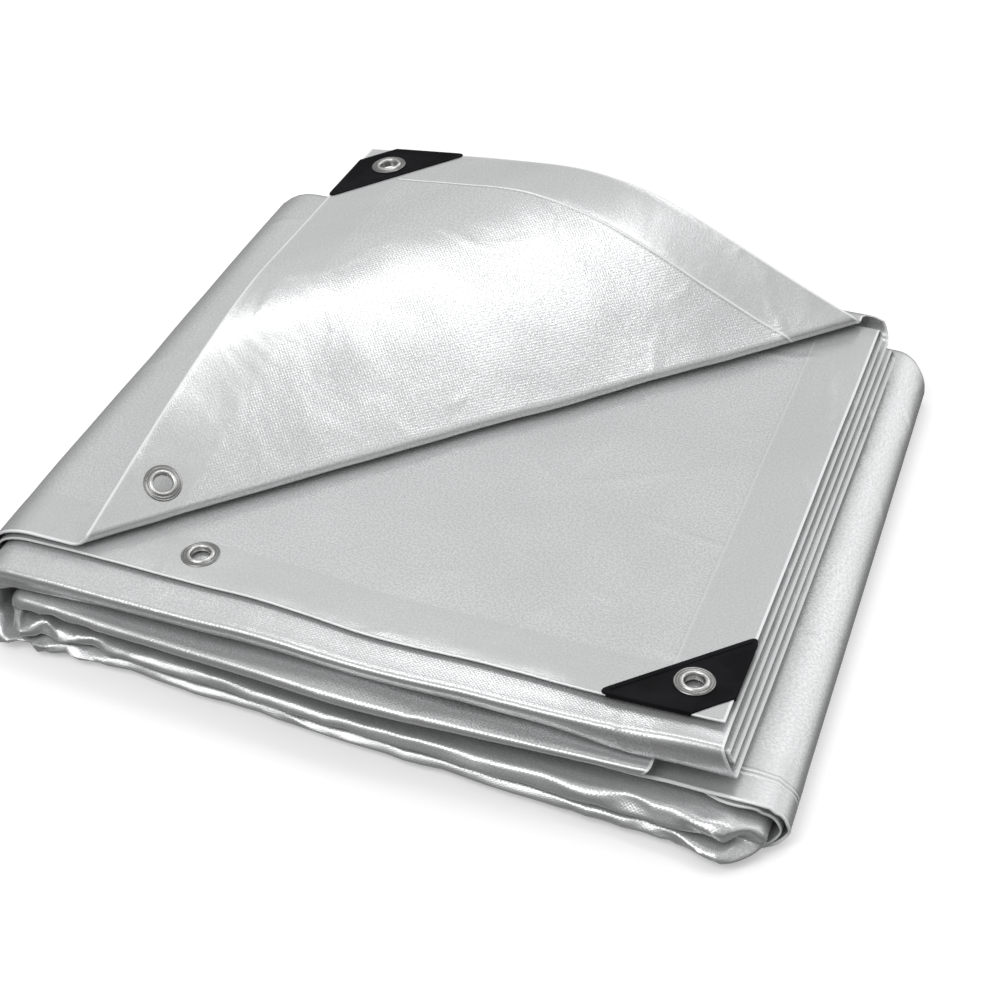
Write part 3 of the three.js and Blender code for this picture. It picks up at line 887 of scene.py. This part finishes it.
def feed(tree, shader, **inputs):
    """Fills the shader's sockets, named with underscores for spaces."""
    fill(tree, shader, {name.replace("_", " "): value for name, value in inputs.items()})


def axes_of(value):
    """The three parts of a vector socket."""
    split = add_node(value.tree, "ShaderNodeSeparateXYZ", None, {0: value})
    return [Value(value.tree, part) for part in split.socket.node.outputs]


def mix_colour(tree, share, first, second):
    return add_node(
        tree,
        "ShaderNodeMix",
        {"data_type": "RGBA"},
        {0: share, 6: first, 7: second},
        output=2,
    )


def bump(tree, height, strength, distance):
    inputs = {"Strength": strength, "Distance": distance, "Height": height}
    return add_node(tree, "ShaderNodeBump", None, inputs)


def shade(colour, factor=1.0):
    return (colour[0] * factor, colour[1] * factor, colour[2] * factor, 1.0)


def noise_on(place, **sockets):
    """Fractal noise over a place."""
    return add_node(place.tree, "ShaderNodeTexNoise", None, {"Vector": place, **sockets})


# Looks of the cloth. Distances are metres on its flat map, and tints are beside its own colour.
# The seam and rim widths below draw a painted highlight along each seam and along the cloth's edge, and a
# painted shadow beside each seam.
SEAM_BRIGHT = (0.0003, 0.0013)
SEAM_DARK = (0.0002, 0.0012)
DARK_BESIDE = 0.0019
SEAM_STARTS = 0.004
LAYER_STEP = 0.01
WRAP_STARTS = 1.0
WRAP_SEAMS = (0.024, 0.028)
LOWER_SEAM_SHOWS = 0.2
FLAP_SEAM = {"from": 0.3, "to": 0.5, "shows": 0.1}
RIM_BRIGHT = (0.0012, 0.0026)
HEM_STEP = 0.002
CLOUD = {"Scale": 7.0, "Detail": 4.0, "Roughness": 0.6}
GRAIN = {"Scale": 560.0, "Detail": 2.0}
SWELL = {"Scale": 9.0, "Detail": 3.0, "Distortion": 0.4}
CREASES = {"Scale": 9.0, "Randomness": 1.0}
CREASE_WIDTH = 0.07
CREASE_CLOUDS = (0.45, 0.7)
CLOUD_SPAN = (0.3, 0.7)
GRAIN_SPAN = (0.38, 0.62)
CLOUD_TINTS = (0.96, 1.03)
# Among the tints, the one for lines is a painted highlight on the seams and the cloth's edge, and the one
# for grooves is a painted shadow beside the seams.
CLOTH_TINTS = {
    "grain": {"tint": 0.72, "share": 0.65},
    "hem": {"tint": 0.82, "share": 0.5},
    "painted_highlight_line": {"tint": 1.3, "share": 0.8},
    "painted_seam_shadow": {"tint": 0.4, "share": 0.45},
}
CLOTH_ROUGH = {"least": 0.19, "grain": 0.08, "cloud": 0.06}
CLOTH_METAL = 0.5
LINE_METAL = 0.1
HEM_WEAVE = 0.3
# Heights of the cloth's relief, in metres.
RELIEF = {"weave": 0.000025, "swell": 0.0018, "grain": 0.00009, "painted_highlight_line": 0.0002, "crease": 0.0007}


def seam_lines(along, across, from_edge, from_end, width):
    """Painted highlight lines, and painted shadow lines beside them, of the seams that show: the hems'
    inner lines and two on the wrap.
    """
    hem, layer = HEM * MM, DEPTH * MM
    in_top = 1 - across.between(layer, layer + LAYER_STEP)
    in_lower = across.between(width - layer, width - layer + LAYER_STEP)
    on_wrap = along.between(WRAP_STARTS, WRAP_STARTS + LAYER_STEP) * in_top
    past_edge = from_edge.between(hem - SEAM_STARTS, hem)
    past_end = from_end.between(hem - SEAM_STARTS, hem)
    on_flap = (1 - along.between(FLAP_SEAM["from"], FLAP_SEAM["to"])) * past_end
    seams = [
        (from_end - hem, in_top * past_edge),
        (from_end - hem, in_lower * past_edge * LOWER_SEAM_SHOWS),
        (across - hem, on_flap * FLAP_SEAM["shows"]),
    ]
    seams += [(across - place, on_wrap) for place in WRAP_SEAMS]
    painted_highlight_line = painted_seam_shadow = None
    for away, share in seams:
        painted_highlight = (1 - away.size().between(*SEAM_BRIGHT)) * share
        painted_shadow = (1 - (away - DARK_BESIDE).size().between(*SEAM_DARK)) * share
        painted_highlight_line = painted_highlight_line.high(painted_highlight) if painted_highlight_line else painted_highlight
        painted_seam_shadow = painted_seam_shadow.high(painted_shadow) if painted_seam_shadow else painted_shadow
    return painted_highlight_line, painted_seam_shadow


def cloth_material(settings, whole):
    """Silver coated cloth of woven tapes, with its hem lines and soft creases; the hem lines and the
    cloth's edge carry a painted highlight, and a painted shadow runs beside the seams.
    """
    material, tree, shader = new_material("silver_woven_cloth")
    flat = add_node(tree, "ShaderNodeUVMap", {"uv_map": "cloth"})
    along, across, _ = axes_of(flat)
    tape = math.pi / settings.tape
    weave = (along * tape).sine() * (across * tape).sine()

    length, width = (side * MM for side in whole)
    from_edge = across.low(width - across)
    from_end = along.low(length - along)
    from_rim = from_edge.low(from_end)
    painted_highlight_line, painted_seam_shadow = seam_lines(along, across, from_edge, from_end, width)
    painted_highlight = painted_highlight_line.high(1 - from_rim.between(*RIM_BRIGHT))
    single = from_rim.between(HEM * MM, HEM * MM + HEM_STEP)

    cloud, grain, swell = (noise_on(flat, **sockets) for sockets in (CLOUD, GRAIN, SWELL))
    sockets = {"Vector": flat, **CREASES}
    crease = add_node(tree, "ShaderNodeTexVoronoi", {"feature": "DISTANCE_TO_EDGE"}, sockets)
    crease = (1 - crease.between(0.0, CREASE_WIDTH)) * cloud.between(*CREASE_CLOUDS)

    dull, clear = (shade(settings.colour, tint) for tint in CLOUD_TINTS)
    base = mix_colour(tree, cloud.between(*CLOUD_SPAN), dull, clear)
    # The painted highlight of the seams and the edge, and the painted shadow beside the seams, are mixed
    # into the colour here.
    masks = {"grain": grain.between(*GRAIN_SPAN), "hem": 1 - single, "painted_highlight_line": painted_highlight, "painted_seam_shadow": painted_seam_shadow}
    for name, mask in masks.items():
        tint = CLOTH_TINTS[name]
        base = mix_colour(tree, mask * tint["share"], base, shade(settings.colour, tint["tint"]))
    rough = CLOTH_ROUGH["least"] + grain * CLOTH_ROUGH["grain"] + cloud * CLOTH_ROUGH["cloud"]
    weave = weave * (HEM_WEAVE + single * (1 - HEM_WEAVE))
    relief = {"weave": weave, "swell": swell, "grain": grain, "painted_highlight_line": painted_highlight_line, "crease": crease}
    normal = bump(tree, sum(part * RELIEF[name] for name, part in relief.items()), 1.0, 1.0)
    metal = CLOTH_METAL - painted_highlight * (CLOTH_METAL - LINE_METAL)
    feed(tree, shader, Base_Color=base, Roughness=rough, Metallic=metal, Normal=normal)
    return material


# Looks of the pockets and the eyelets. Places on an eyelet are shares of its radius.
POCKET_GRAIN = {"Scale": 900.0, "Detail": 3.0}
POCKET_CLOUD = {"Scale": 40.0, "Detail": 3.0}
POCKET_WORN = {"from": 0.35, "to": 0.7, "tint": 1.7}
POCKET_ROUGH = {"least": 0.6, "grain": 0.2}
POCKET_SPECULAR = 0.07
POCKET_BUMP = 0.5
FLANGE = {"from": 0.7, "to": 0.76, "tint": 0.42}
# Painted shade: dark lines drawn in the eyelet's pressed grooves.
PAINTED_GROOVE_SHADE = {"places": (0.9, 0.77), "width": (0.004, 0.02), "tint": 0.12, "share": 0.7}
SCUFFS = {"Scale": 500.0, "Detail": 4.0, "Distortion": 1.2}
SCUFFED = {"from": 0.4, "to": 0.65, "tint": 0.55, "share": 0.4}
METAL_ROUGH = {"least": 0.22, "scuff": 0.2}
METAL_BUMP = 0.25
FINE_RELIEF = 0.0002


def object_place(tree):
    return add_node(tree, "ShaderNodeTexCoord", None, None, output=3)


def pocket_material(settings):
    """Black plastic, slightly worn in patches."""
    material, tree, shader = new_material("black_pocket_plastic")
    place = object_place(tree)
    grain, cloud = noise_on(place, **POCKET_GRAIN), noise_on(place, **POCKET_CLOUD)
    worn = cloud.between(POCKET_WORN["from"], POCKET_WORN["to"])
    base = mix_colour(tree, worn, shade(settings.colour), shade(settings.colour, POCKET_WORN["tint"]))
    normal = bump(tree, grain, POCKET_BUMP, FINE_RELIEF)
    rough = POCKET_ROUGH["least"] + grain * POCKET_ROUGH["grain"]
    feed(tree, shader, Base_Color=base, Roughness=rough, Normal=normal, Specular_IOR_Level=POCKET_SPECULAR)
    return material


def eyelet_material(settings):
    """Scuffed metal, darker on the flange, with painted shade in the pressed grooves."""
    material, tree, shader = new_material("pressed_eyelet_metal")
    ring = add_node(tree, "ShaderNodeAttribute", {"attribute_name": "ring"}, None, output=2)
    scuff = noise_on(object_place(tree), **SCUFFS)
    flange = ring.between(FLANGE["from"], FLANGE["to"])
    tint = mix_colour(tree, flange, shade(settings.colour), shade(settings.colour, FLANGE["tint"]))
    places, width = PAINTED_GROOVE_SHADE["places"], PAINTED_GROOVE_SHADE["width"]
    outer, inner = (1 - (ring - place).size().between(*width) for place in places)
    scuffed = scuff.between(SCUFFED["from"], SCUFFED["to"])
    for mask, look in ((outer.high(inner), PAINTED_GROOVE_SHADE), (scuffed, SCUFFED)):
        tint = mix_colour(tree, mask * look["share"], tint, shade(settings.colour, look["tint"]))
    normal = bump(tree, scuff, METAL_BUMP, FINE_RELIEF)
    rough = METAL_ROUGH["least"] + scuff * METAL_ROUGH["scuff"]
    feed(tree, shader, Base_Color=tint, Metallic=1.0, Roughness=rough, Normal=normal)
    return material


# Pockets and eyelets


def pick(mesh, part):
    """Selects one edge or face of a mesh and nothing else."""
    for other in (*mesh.vertices, *mesh.edges, *mesh.polygons):
        other.select = False
    part.select = True
    for v in part.vertices:
        mesh.vertices[v].select = True


def upright_edge(mesh, x, y):
    """The upright edge that is nearest to a place."""

    def away(edge):
        low, high = (mesh.vertices[v].co for v in edge.vertices)
        upright = (low - high).xy.length < 1e-7
        return math.hypot(low.x - x, low.y - y) if upright else math.inf

    return min(mesh.edges, key=away)


def mould_pocket(name, settings):
    """A flat sleeve with its corner at the origin and its middle along -Y: tip cut, ends round."""
    deselect()
    bpy.ops.mesh.primitive_cylinder_add(vertices=3, radius=1, depth=2 * POCKET_TOP * MM, location=(0, 0, 0))
    piece = bpy.context.object
    piece.name = piece.data.name = name + "_moulded"
    height = settings.leg / math.sqrt(2)
    middle = height / TRIANGLE_HEIGHT
    bpy.ops.object.mode_set(mode="EDIT")
    bpy.ops.mesh.select_all(action="SELECT")
    bpy.ops.transform.resize(value=(height / TRIANGLE_HALF, middle, 1), center_override=(0, 0, 0))
    bpy.ops.transform.translate(value=(0, -middle, 0))
    bpy.ops.object.mode_set(mode="OBJECT")
    # The two ends are rounded and the tip is cut.
    cuts = (
        (-height, -height, settings.end, END_FACETS),
        (height, -height, settings.end, END_FACETS),
        (0, 0, settings.tip, 1),
    )
    for x, y, offset, segments in cuts:
        pick(piece.data, upright_edge(piece.data, x, y))
        bpy.ops.object.mode_set(mode="EDIT")
        bpy.ops.mesh.bevel(offset_type="OFFSET", offset=offset, segments=segments, affect="EDGES")
        bpy.ops.object.mode_set(mode="OBJECT")
    rim = piece.modifiers.new("rim", "BEVEL")
    rim.width = POCKET_RIM * MM
    rim.segments = RIM_FACETS
    rim.limit_method = "ANGLE"
    rim.angle_limit = RIM_ANGLE
    bpy.ops.object.modifier_apply(modifier="rim")
    pick(piece.data, max(piece.data.polygons, key=lambda face: (round(face.center.z, 6), face.area)))
    bpy.ops.object.mode_set(mode="EDIT")
    bpy.ops.mesh.inset(thickness=POCKET_BORDER * MM, depth=0)
    bpy.ops.mesh.inset(thickness=POCKET_STEP * MM, depth=-POCKET_SUNK * MM)
    bpy.ops.object.mode_set(mode="OBJECT")
    hole = (0, -(CORNER_INSET + POCKET_OVER) * math.sqrt(2) * MM, 0)
    bpy.ops.mesh.primitive_cylinder_add(
        vertices=HOLE_FACETS, radius=HOLE_CUT * MM, depth=HOLE_DEPTH * MM, location=hole
    )
    cutter = bpy.context.object
    deselect()
    piece.select_set(True)
    bpy.context.view_layer.objects.active = piece
    cut = piece.modifiers.new("hole", "BOOLEAN")
    cut.operation = "DIFFERENCE"
    cut.object = cutter
    bpy.ops.object.modifier_apply(modifier="hole")
    bpy.data.objects.remove(cutter)
    bpy.ops.object.shade_smooth_by_angle(angle=POCKET_SMOOTH)
    return piece


def press_eyelet(name, sides, top):
    """An eyelet about the Z axis: a ring drawn through the rings of its section and closed."""
    rings = [(ring["radius"], top + ring["height"]) for ring in EYELET_RINGS]
    under = -top
    rings += [
        (rings[-1][0], under - EYELET_METAL),
        (EYELET_BACK, under - EYELET_METAL),
        (EYELET_BACK, under),
        (EYELET_BARREL, under),
        (EYELET_BARREL, top),
    ]
    deselect()
    radius, height = rings[0]
    bpy.ops.mesh.primitive_circle_add(vertices=sides, radius=radius * MM, location=(0, 0, 0))
    piece = bpy.context.object
    piece.name = piece.data.name = name + "_pressed"
    bpy.ops.object.mode_set(mode="EDIT")
    bpy.ops.mesh.select_all(action="SELECT")
    bpy.ops.transform.translate(value=(0, 0, height * MM))
    for (before, low), (after, high) in zip(rings, rings[1:]):
        bpy.ops.mesh.extrude_edges_move()
        bpy.ops.transform.translate(value=(0, 0, (high - low) * MM))
        bpy.ops.transform.resize(value=(after / before, after / before, 1), center_override=(0, 0, 0))
    bpy.ops.object.mode_set(mode="OBJECT")
    count = len(piece.data.vertices)
    for i, vertex in enumerate(piece.data.vertices):
        vertex.select = i < sides or i >= count - sides
    for edge in piece.data.edges:
        edge.select = all(piece.data.vertices[v].select for v in edge.vertices)
    bpy.ops.object.mode_set(mode="EDIT")
    bpy.ops.mesh.bridge_edge_loops()
    bpy.ops.mesh.select_all(action="SELECT")
    bpy.ops.mesh.normals_make_consistent(inside=False)
    bpy.ops.object.mode_set(mode="OBJECT")
    bpy.ops.object.shade_smooth_by_angle(angle=EYELET_SMOOTH)
    ring = piece.data.attributes.new("ring", "FLOAT", "POINT")
    places = np.zeros(len(piece.data.vertices) * 3)
    piece.data.vertices.foreach_get("co", places)
    places = places.reshape(-1, 3)
    ring.data.foreach_set("value", np.hypot(places[:, 0], places[:, 1]) / (EYELET_OUTER * MM))
    return piece


def place_of(scene, eyelet):
    """Matrix, in metres, that lays a piece on the cloth at an eyelet."""
    values = list(scene[eyelet])
    place = Matrix([values[i : i + 4] for i in range(0, 16, 4)])
    return Matrix.Translation(ORIGIN) @ Matrix.Scale(MM, 4) @ place @ Matrix.Scale(1 / MM, 4)


# Property groups


class ClothSettings(bpy.types.PropertyGroup):
    colour: bpy.props.FloatVectorProperty(
        name="Colour",
        description="Colour of the coated cloth",
        subtype="COLOR",
        size=3,
        default=(0.715, 0.72, 0.725),
        min=0,
        max=1,
    )
    thickness: bpy.props.FloatProperty(
        name="Thickness",
        description="Thickness of the single cloth",
        default=1.0 * MM,
        unit="LENGTH",
    )
    hem: bpy.props.FloatProperty(
        name="Hem",
        description="Extra thickness of the doubled hem",
        default=0.6 * MM,
        unit="LENGTH",
    )
    tape: bpy.props.FloatProperty(
        name="Tape",
        description="Width of the woven tapes",
        default=1.5 * MM,
        unit="LENGTH",
    )


class PocketSettings(bpy.types.PropertyGroup):
    colour: bpy.props.FloatVectorProperty(
        name="Colour",
        description="Colour of the corner pockets",
        subtype="COLOR",
        size=3,
        default=(0.006, 0.006, 0.007),
        min=0,
        max=1,
    )
    leg: bpy.props.FloatProperty(
        name="Leg",
        description="Length of a pocket's side before its end is rounded",
        default=91 * MM,
        unit="LENGTH",
    )
    end: bpy.props.FloatProperty(
        name="End",
        description="How far the rounding of an end reaches along its sides",
        default=9.5 * MM,
        unit="LENGTH",
    )
    tip: bpy.props.FloatProperty(
        name="Tip",
        description="How far the corner is cut off along its sides",
        default=24 * MM,
        unit="LENGTH",
    )


class EyeletSettings(bpy.types.PropertyGroup):
    colour: bpy.props.FloatVectorProperty(
        name="Colour",
        description="Colour of the eyelets' metal",
        subtype="COLOR",
        size=3,
        default=(0.66, 0.66, 0.65),
        min=0,
        max=1,
    )
    sides: bpy.props.IntProperty(
        name="Sides",
        description="Facets round an eyelet",
        default=64,
        min=24,
        max=128,
    )


# Operators


class TARP_OT_cloth(bpy.types.Operator):
    """Lay the folded sheet with its turned-back corner"""

    bl_idname = "tarp.cloth"
    bl_label = "Folded cloth"

    def execute(self, context):
        settings = context.scene.tarp_cloth
        cloth = lay_cloth()
        ruffle(cloth, *cloth.place.T)
        frames = press_flat(cloth)
        cut_holes(cloth, frames)
        for name, place in frames.items():
            context.scene[name] = [value for row in place for value in row]
        share = hem_share(cloth.flat, cloth.whole)
        thickness = (settings.thickness + settings.hem * share) / MM
        rim = rim_distance(cloth.flat, cloth.whole)
        thickness += LIP_THICK * (1 - smooth(*LIP_THICKENS, rim)) - LIP_THIN * (1 - smooth(*LIP_THINS, rim))
        mesh = thicken(cloth, thickness, "tarp_cloth")
        piece = new_object("tarp_cloth", mesh)
        bpy.ops.object.mode_set(mode="EDIT")
        bpy.ops.mesh.select_all(action="SELECT")
        bpy.ops.mesh.delete_loose()
        bpy.ops.object.mode_set(mode="OBJECT")
        bpy.ops.object.shade_smooth_by_angle(angle=CLOTH_SMOOTH)
        mesh.materials.append(cloth_material(settings, cloth.whole))
        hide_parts("tarp_sheet", "hem_strip_lower", "hem_strip_upper")
        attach(piece, "root")
        return {"FINISHED"}


class TARP_OT_pockets(bpy.types.Operator):
    """Fit the black corner pockets"""

    bl_idname = "tarp.pockets"
    bl_label = "Corner pockets"

    def execute(self, context):
        settings = context.scene.tarp_pocket
        material = pocket_material(settings)
        away = (CORNER_INSET + POCKET_OVER) * MM
        for name, pocket in POCKETS.items():
            piece = mould_pocket(name, settings)
            corner = Matrix.Translation((pocket["side"] * away, -away, 0))
            middle = Matrix.Rotation(math.radians(180 + pocket["side"] * 45), 4, "Z")
            piece.data.transform(place_of(context.scene, pocket["eyelet"]) @ corner @ middle)
            piece.data.materials.append(material)
            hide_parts(name)
            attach(piece, "root")
        return {"FINISHED"}


class TARP_OT_eyelets(bpy.types.Operator):
    """Press the four eyelets"""

    bl_idname = "tarp.eyelets"
    bl_label = "Eyelets"

    def execute(self, context):
        settings = context.scene.tarp_eyelet
        material = eyelet_material(settings)
        for name, eyelet in EYELETS.items():
            piece = press_eyelet(name, settings.sides, eyelet["top"])
            piece.data.transform(place_of(context.scene, name))
            piece.data.materials.append(material)
            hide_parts(name)
            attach(piece, "root")
        return {"FINISHED"}


CAMERA_PLACE = Vector((215.63, -1046.77, 1065.86))
CAMERA_TURN = math.radians(19.4)
CAMERA_TILT = math.radians(37.2)
CAMERA_LENS = 79.2
CAMERA_SENSOR = 36

FLOOR_SIZE = 14
FLOOR_PLACE = (0, 3, 0)
FLOOR_COLOUR = (0.86, 0.86, 0.86)
FLOOR_ROUGH = 0.9
FLOOR_GLOW = 0.27

LAMP_DISTANCE = 2.6
# Softboxes: the way to them, their sides, their turn about the upright and their brightness.
SOFTBOXES = {
    "top_softbox": {"toward": (0.045, 0.25, 0.967), "size": (2.65, 0.42), "turn": -17, "glow": 3.8},
    "front_softbox": {"toward": (-0.27, -0.6, 0.75), "size": (1.7, 1.5), "turn": 0, "glow": 2.8},
}

# The studio's own glow, and brighter patches of it. A patch fades in along each axis, from its first
# value of the direction to its second.
STUDIO_GLOW = 0.11
STUDIO_PATCHES = {
    "above": {"glow": 0.55, "fades": [("z", -0.1, 0.62)]},
    "below": {"glow": 0.35, "fades": [("z", -0.55, -0.85)]},
    "left_back": {"glow": 0.15, "fades": [("x", -0.1, -0.5), ("y", 0.4, 0.8)]},
    "right_back": {
        "glow": 1.05,
        "fades": [("x", -0.2, 0.35), ("y", 0.2, 0.6), ("z", -0.4, 0.15), ("z", 0.85, 0.6)],
    },
    "right_high": {"glow": 0.5, "fades": [("x", 0.2, 0.5), ("y", 0.05, -0.2), ("z", 0.6, 0.8)]},
}
# What is left of the glow at the front, and where it is whole.
FRONT_GLOW = 0.72
FRONT_FADE = (-0.8, 0.5)


def lay_floor():
    """A pale floor that the object neither mirrors nor is lit by."""
    deselect()
    bpy.ops.mesh.primitive_plane_add(size=FLOOR_SIZE, location=FLOOR_PLACE)
    floor = bpy.context.object
    floor.name = "floor"
    material, tree, shader = new_material("pale_floor")
    feed(tree, shader, Base_Color=shade(FLOOR_COLOUR), Roughness=FLOOR_ROUGH)
    feed(tree, shader, Emission_Color=(1, 1, 1, 1), Emission_Strength=FLOOR_GLOW)
    floor.data.materials.append(material)
    floor.visible_diffuse = False
    floor.visible_glossy = False


def hang_softboxes():
    for name, side in SOFTBOXES.items():
        data = bpy.data.lights.new(name, "AREA")
        data.shape = "RECTANGLE"
        data.size, data.size_y = side["size"]
        data.energy = side["glow"] * math.pi * data.size * data.size_y
        lamp = bpy.data.objects.new(name, data)
        bpy.context.scene.collection.objects.link(lamp)
        toward = Vector(side["toward"]).normalized()
        turn = math.radians(side["turn"])
        long_side = Vector((math.cos(turn), math.sin(turn), 0))
        long_side = (long_side - toward * long_side.dot(toward)).normalized()
        lamp.location = toward * LAMP_DISTANCE
        lamp.rotation_euler = Matrix((long_side, toward.cross(long_side), toward)).transposed().to_euler()


def fade(value, start, end):
    """0 at start and 1 at end, whichever of them is lower."""
    return value.between(start, end) if start < end else 1 - value.between(end, start)


def light_studio():
    """A plain studio whose glow depends on the direction alone."""
    world = bpy.data.worlds.new("studio")
    bpy.context.scene.world = world
    world.use_nodes = True
    tree = world.node_tree
    axes = dict(zip("xyz", axes_of(add_node(tree, "ShaderNodeTexCoord"))))
    glow = STUDIO_GLOW
    for patch in STUDIO_PATCHES.values():
        part = patch["glow"]
        for axis, start, end in patch["fades"]:
            part = fade(axes[axis], start, end) * part
        glow = part + glow
    glow = glow * (FRONT_GLOW + axes["y"].between(*FRONT_FADE) * (1 - FRONT_GLOW))
    fill(tree, tree.nodes["Background"], {"Strength": glow, "Color": (1, 1, 1, 1)})


def set_camera():
    """The camera as fitted to the view of the folded tarp."""
    data = bpy.data.cameras.new("camera")
    data.lens = CAMERA_LENS
    data.sensor_width = CAMERA_SENSOR
    camera = bpy.data.objects.new("camera", data)
    bpy.context.scene.collection.objects.link(camera)
    camera.location = CAMERA_PLACE * MM + ORIGIN
    camera.rotation_euler = (math.pi / 2 - CAMERA_TILT, 0, CAMERA_TURN)
    bpy.context.scene.camera = camera


class TARP_OT_stage(bpy.types.Operator):
    """Set the floor, the light and the camera"""

    bl_idname = "tarp.stage"
    bl_label = "Stage"

    def execute(self, context):
        lay_floor()
        hang_softboxes()
        light_studio()
        set_camera()
        context.scene.view_settings.view_transform = "Standard"
        return {"FINISHED"}


class TARP_PT_panel(bpy.types.Panel):
    """Panel in the sidebar with the tarp's sizes, colours and steps"""

    bl_idname = "TARP_PT_panel"
    bl_label = "Folded tarp"
    bl_space_type = "VIEW_3D"
    bl_region_type = "UI"
    bl_category = "Tarp"

    def draw(self, context):
        scene = context.scene
        for settings in (scene.tarp_cloth, scene.tarp_pocket, scene.tarp_eyelet):
            for name in settings.__annotations__:
                self.layout.prop(settings, name)
        for operator in OPERATORS:
            self.layout.operator(operator.bl_idname)


GROUPS = {"tarp_cloth": ClothSettings, "tarp_pocket": PocketSettings, "tarp_eyelet": EyeletSettings}
OPERATORS = (TARP_OT_stage, TARP_OT_cloth, TARP_OT_pockets, TARP_OT_eyelets)


def register():
    for name, group in GROUPS.items():
        bpy.utils.register_class(group)
        setattr(bpy.types.Scene, name, bpy.props.PointerProperty(type=group))
    for part in (*OPERATORS, TARP_PT_panel):
        bpy.utils.register_class(part)


def unregister():
    for part in (TARP_PT_panel, *OPERATORS):
        bpy.utils.unregister_class(part)
    for name, group in GROUPS.items():
        delattr(bpy.types.Scene, name)
        bpy.utils.unregister_class(group)


def main():
    register()
    bpy.ops.tarp.stage()
    bpy.ops.tarp.cloth()
    bpy.ops.tarp.pockets()
    bpy.ops.tarp.eyelets()


if __name__ == "__main__":
    main()
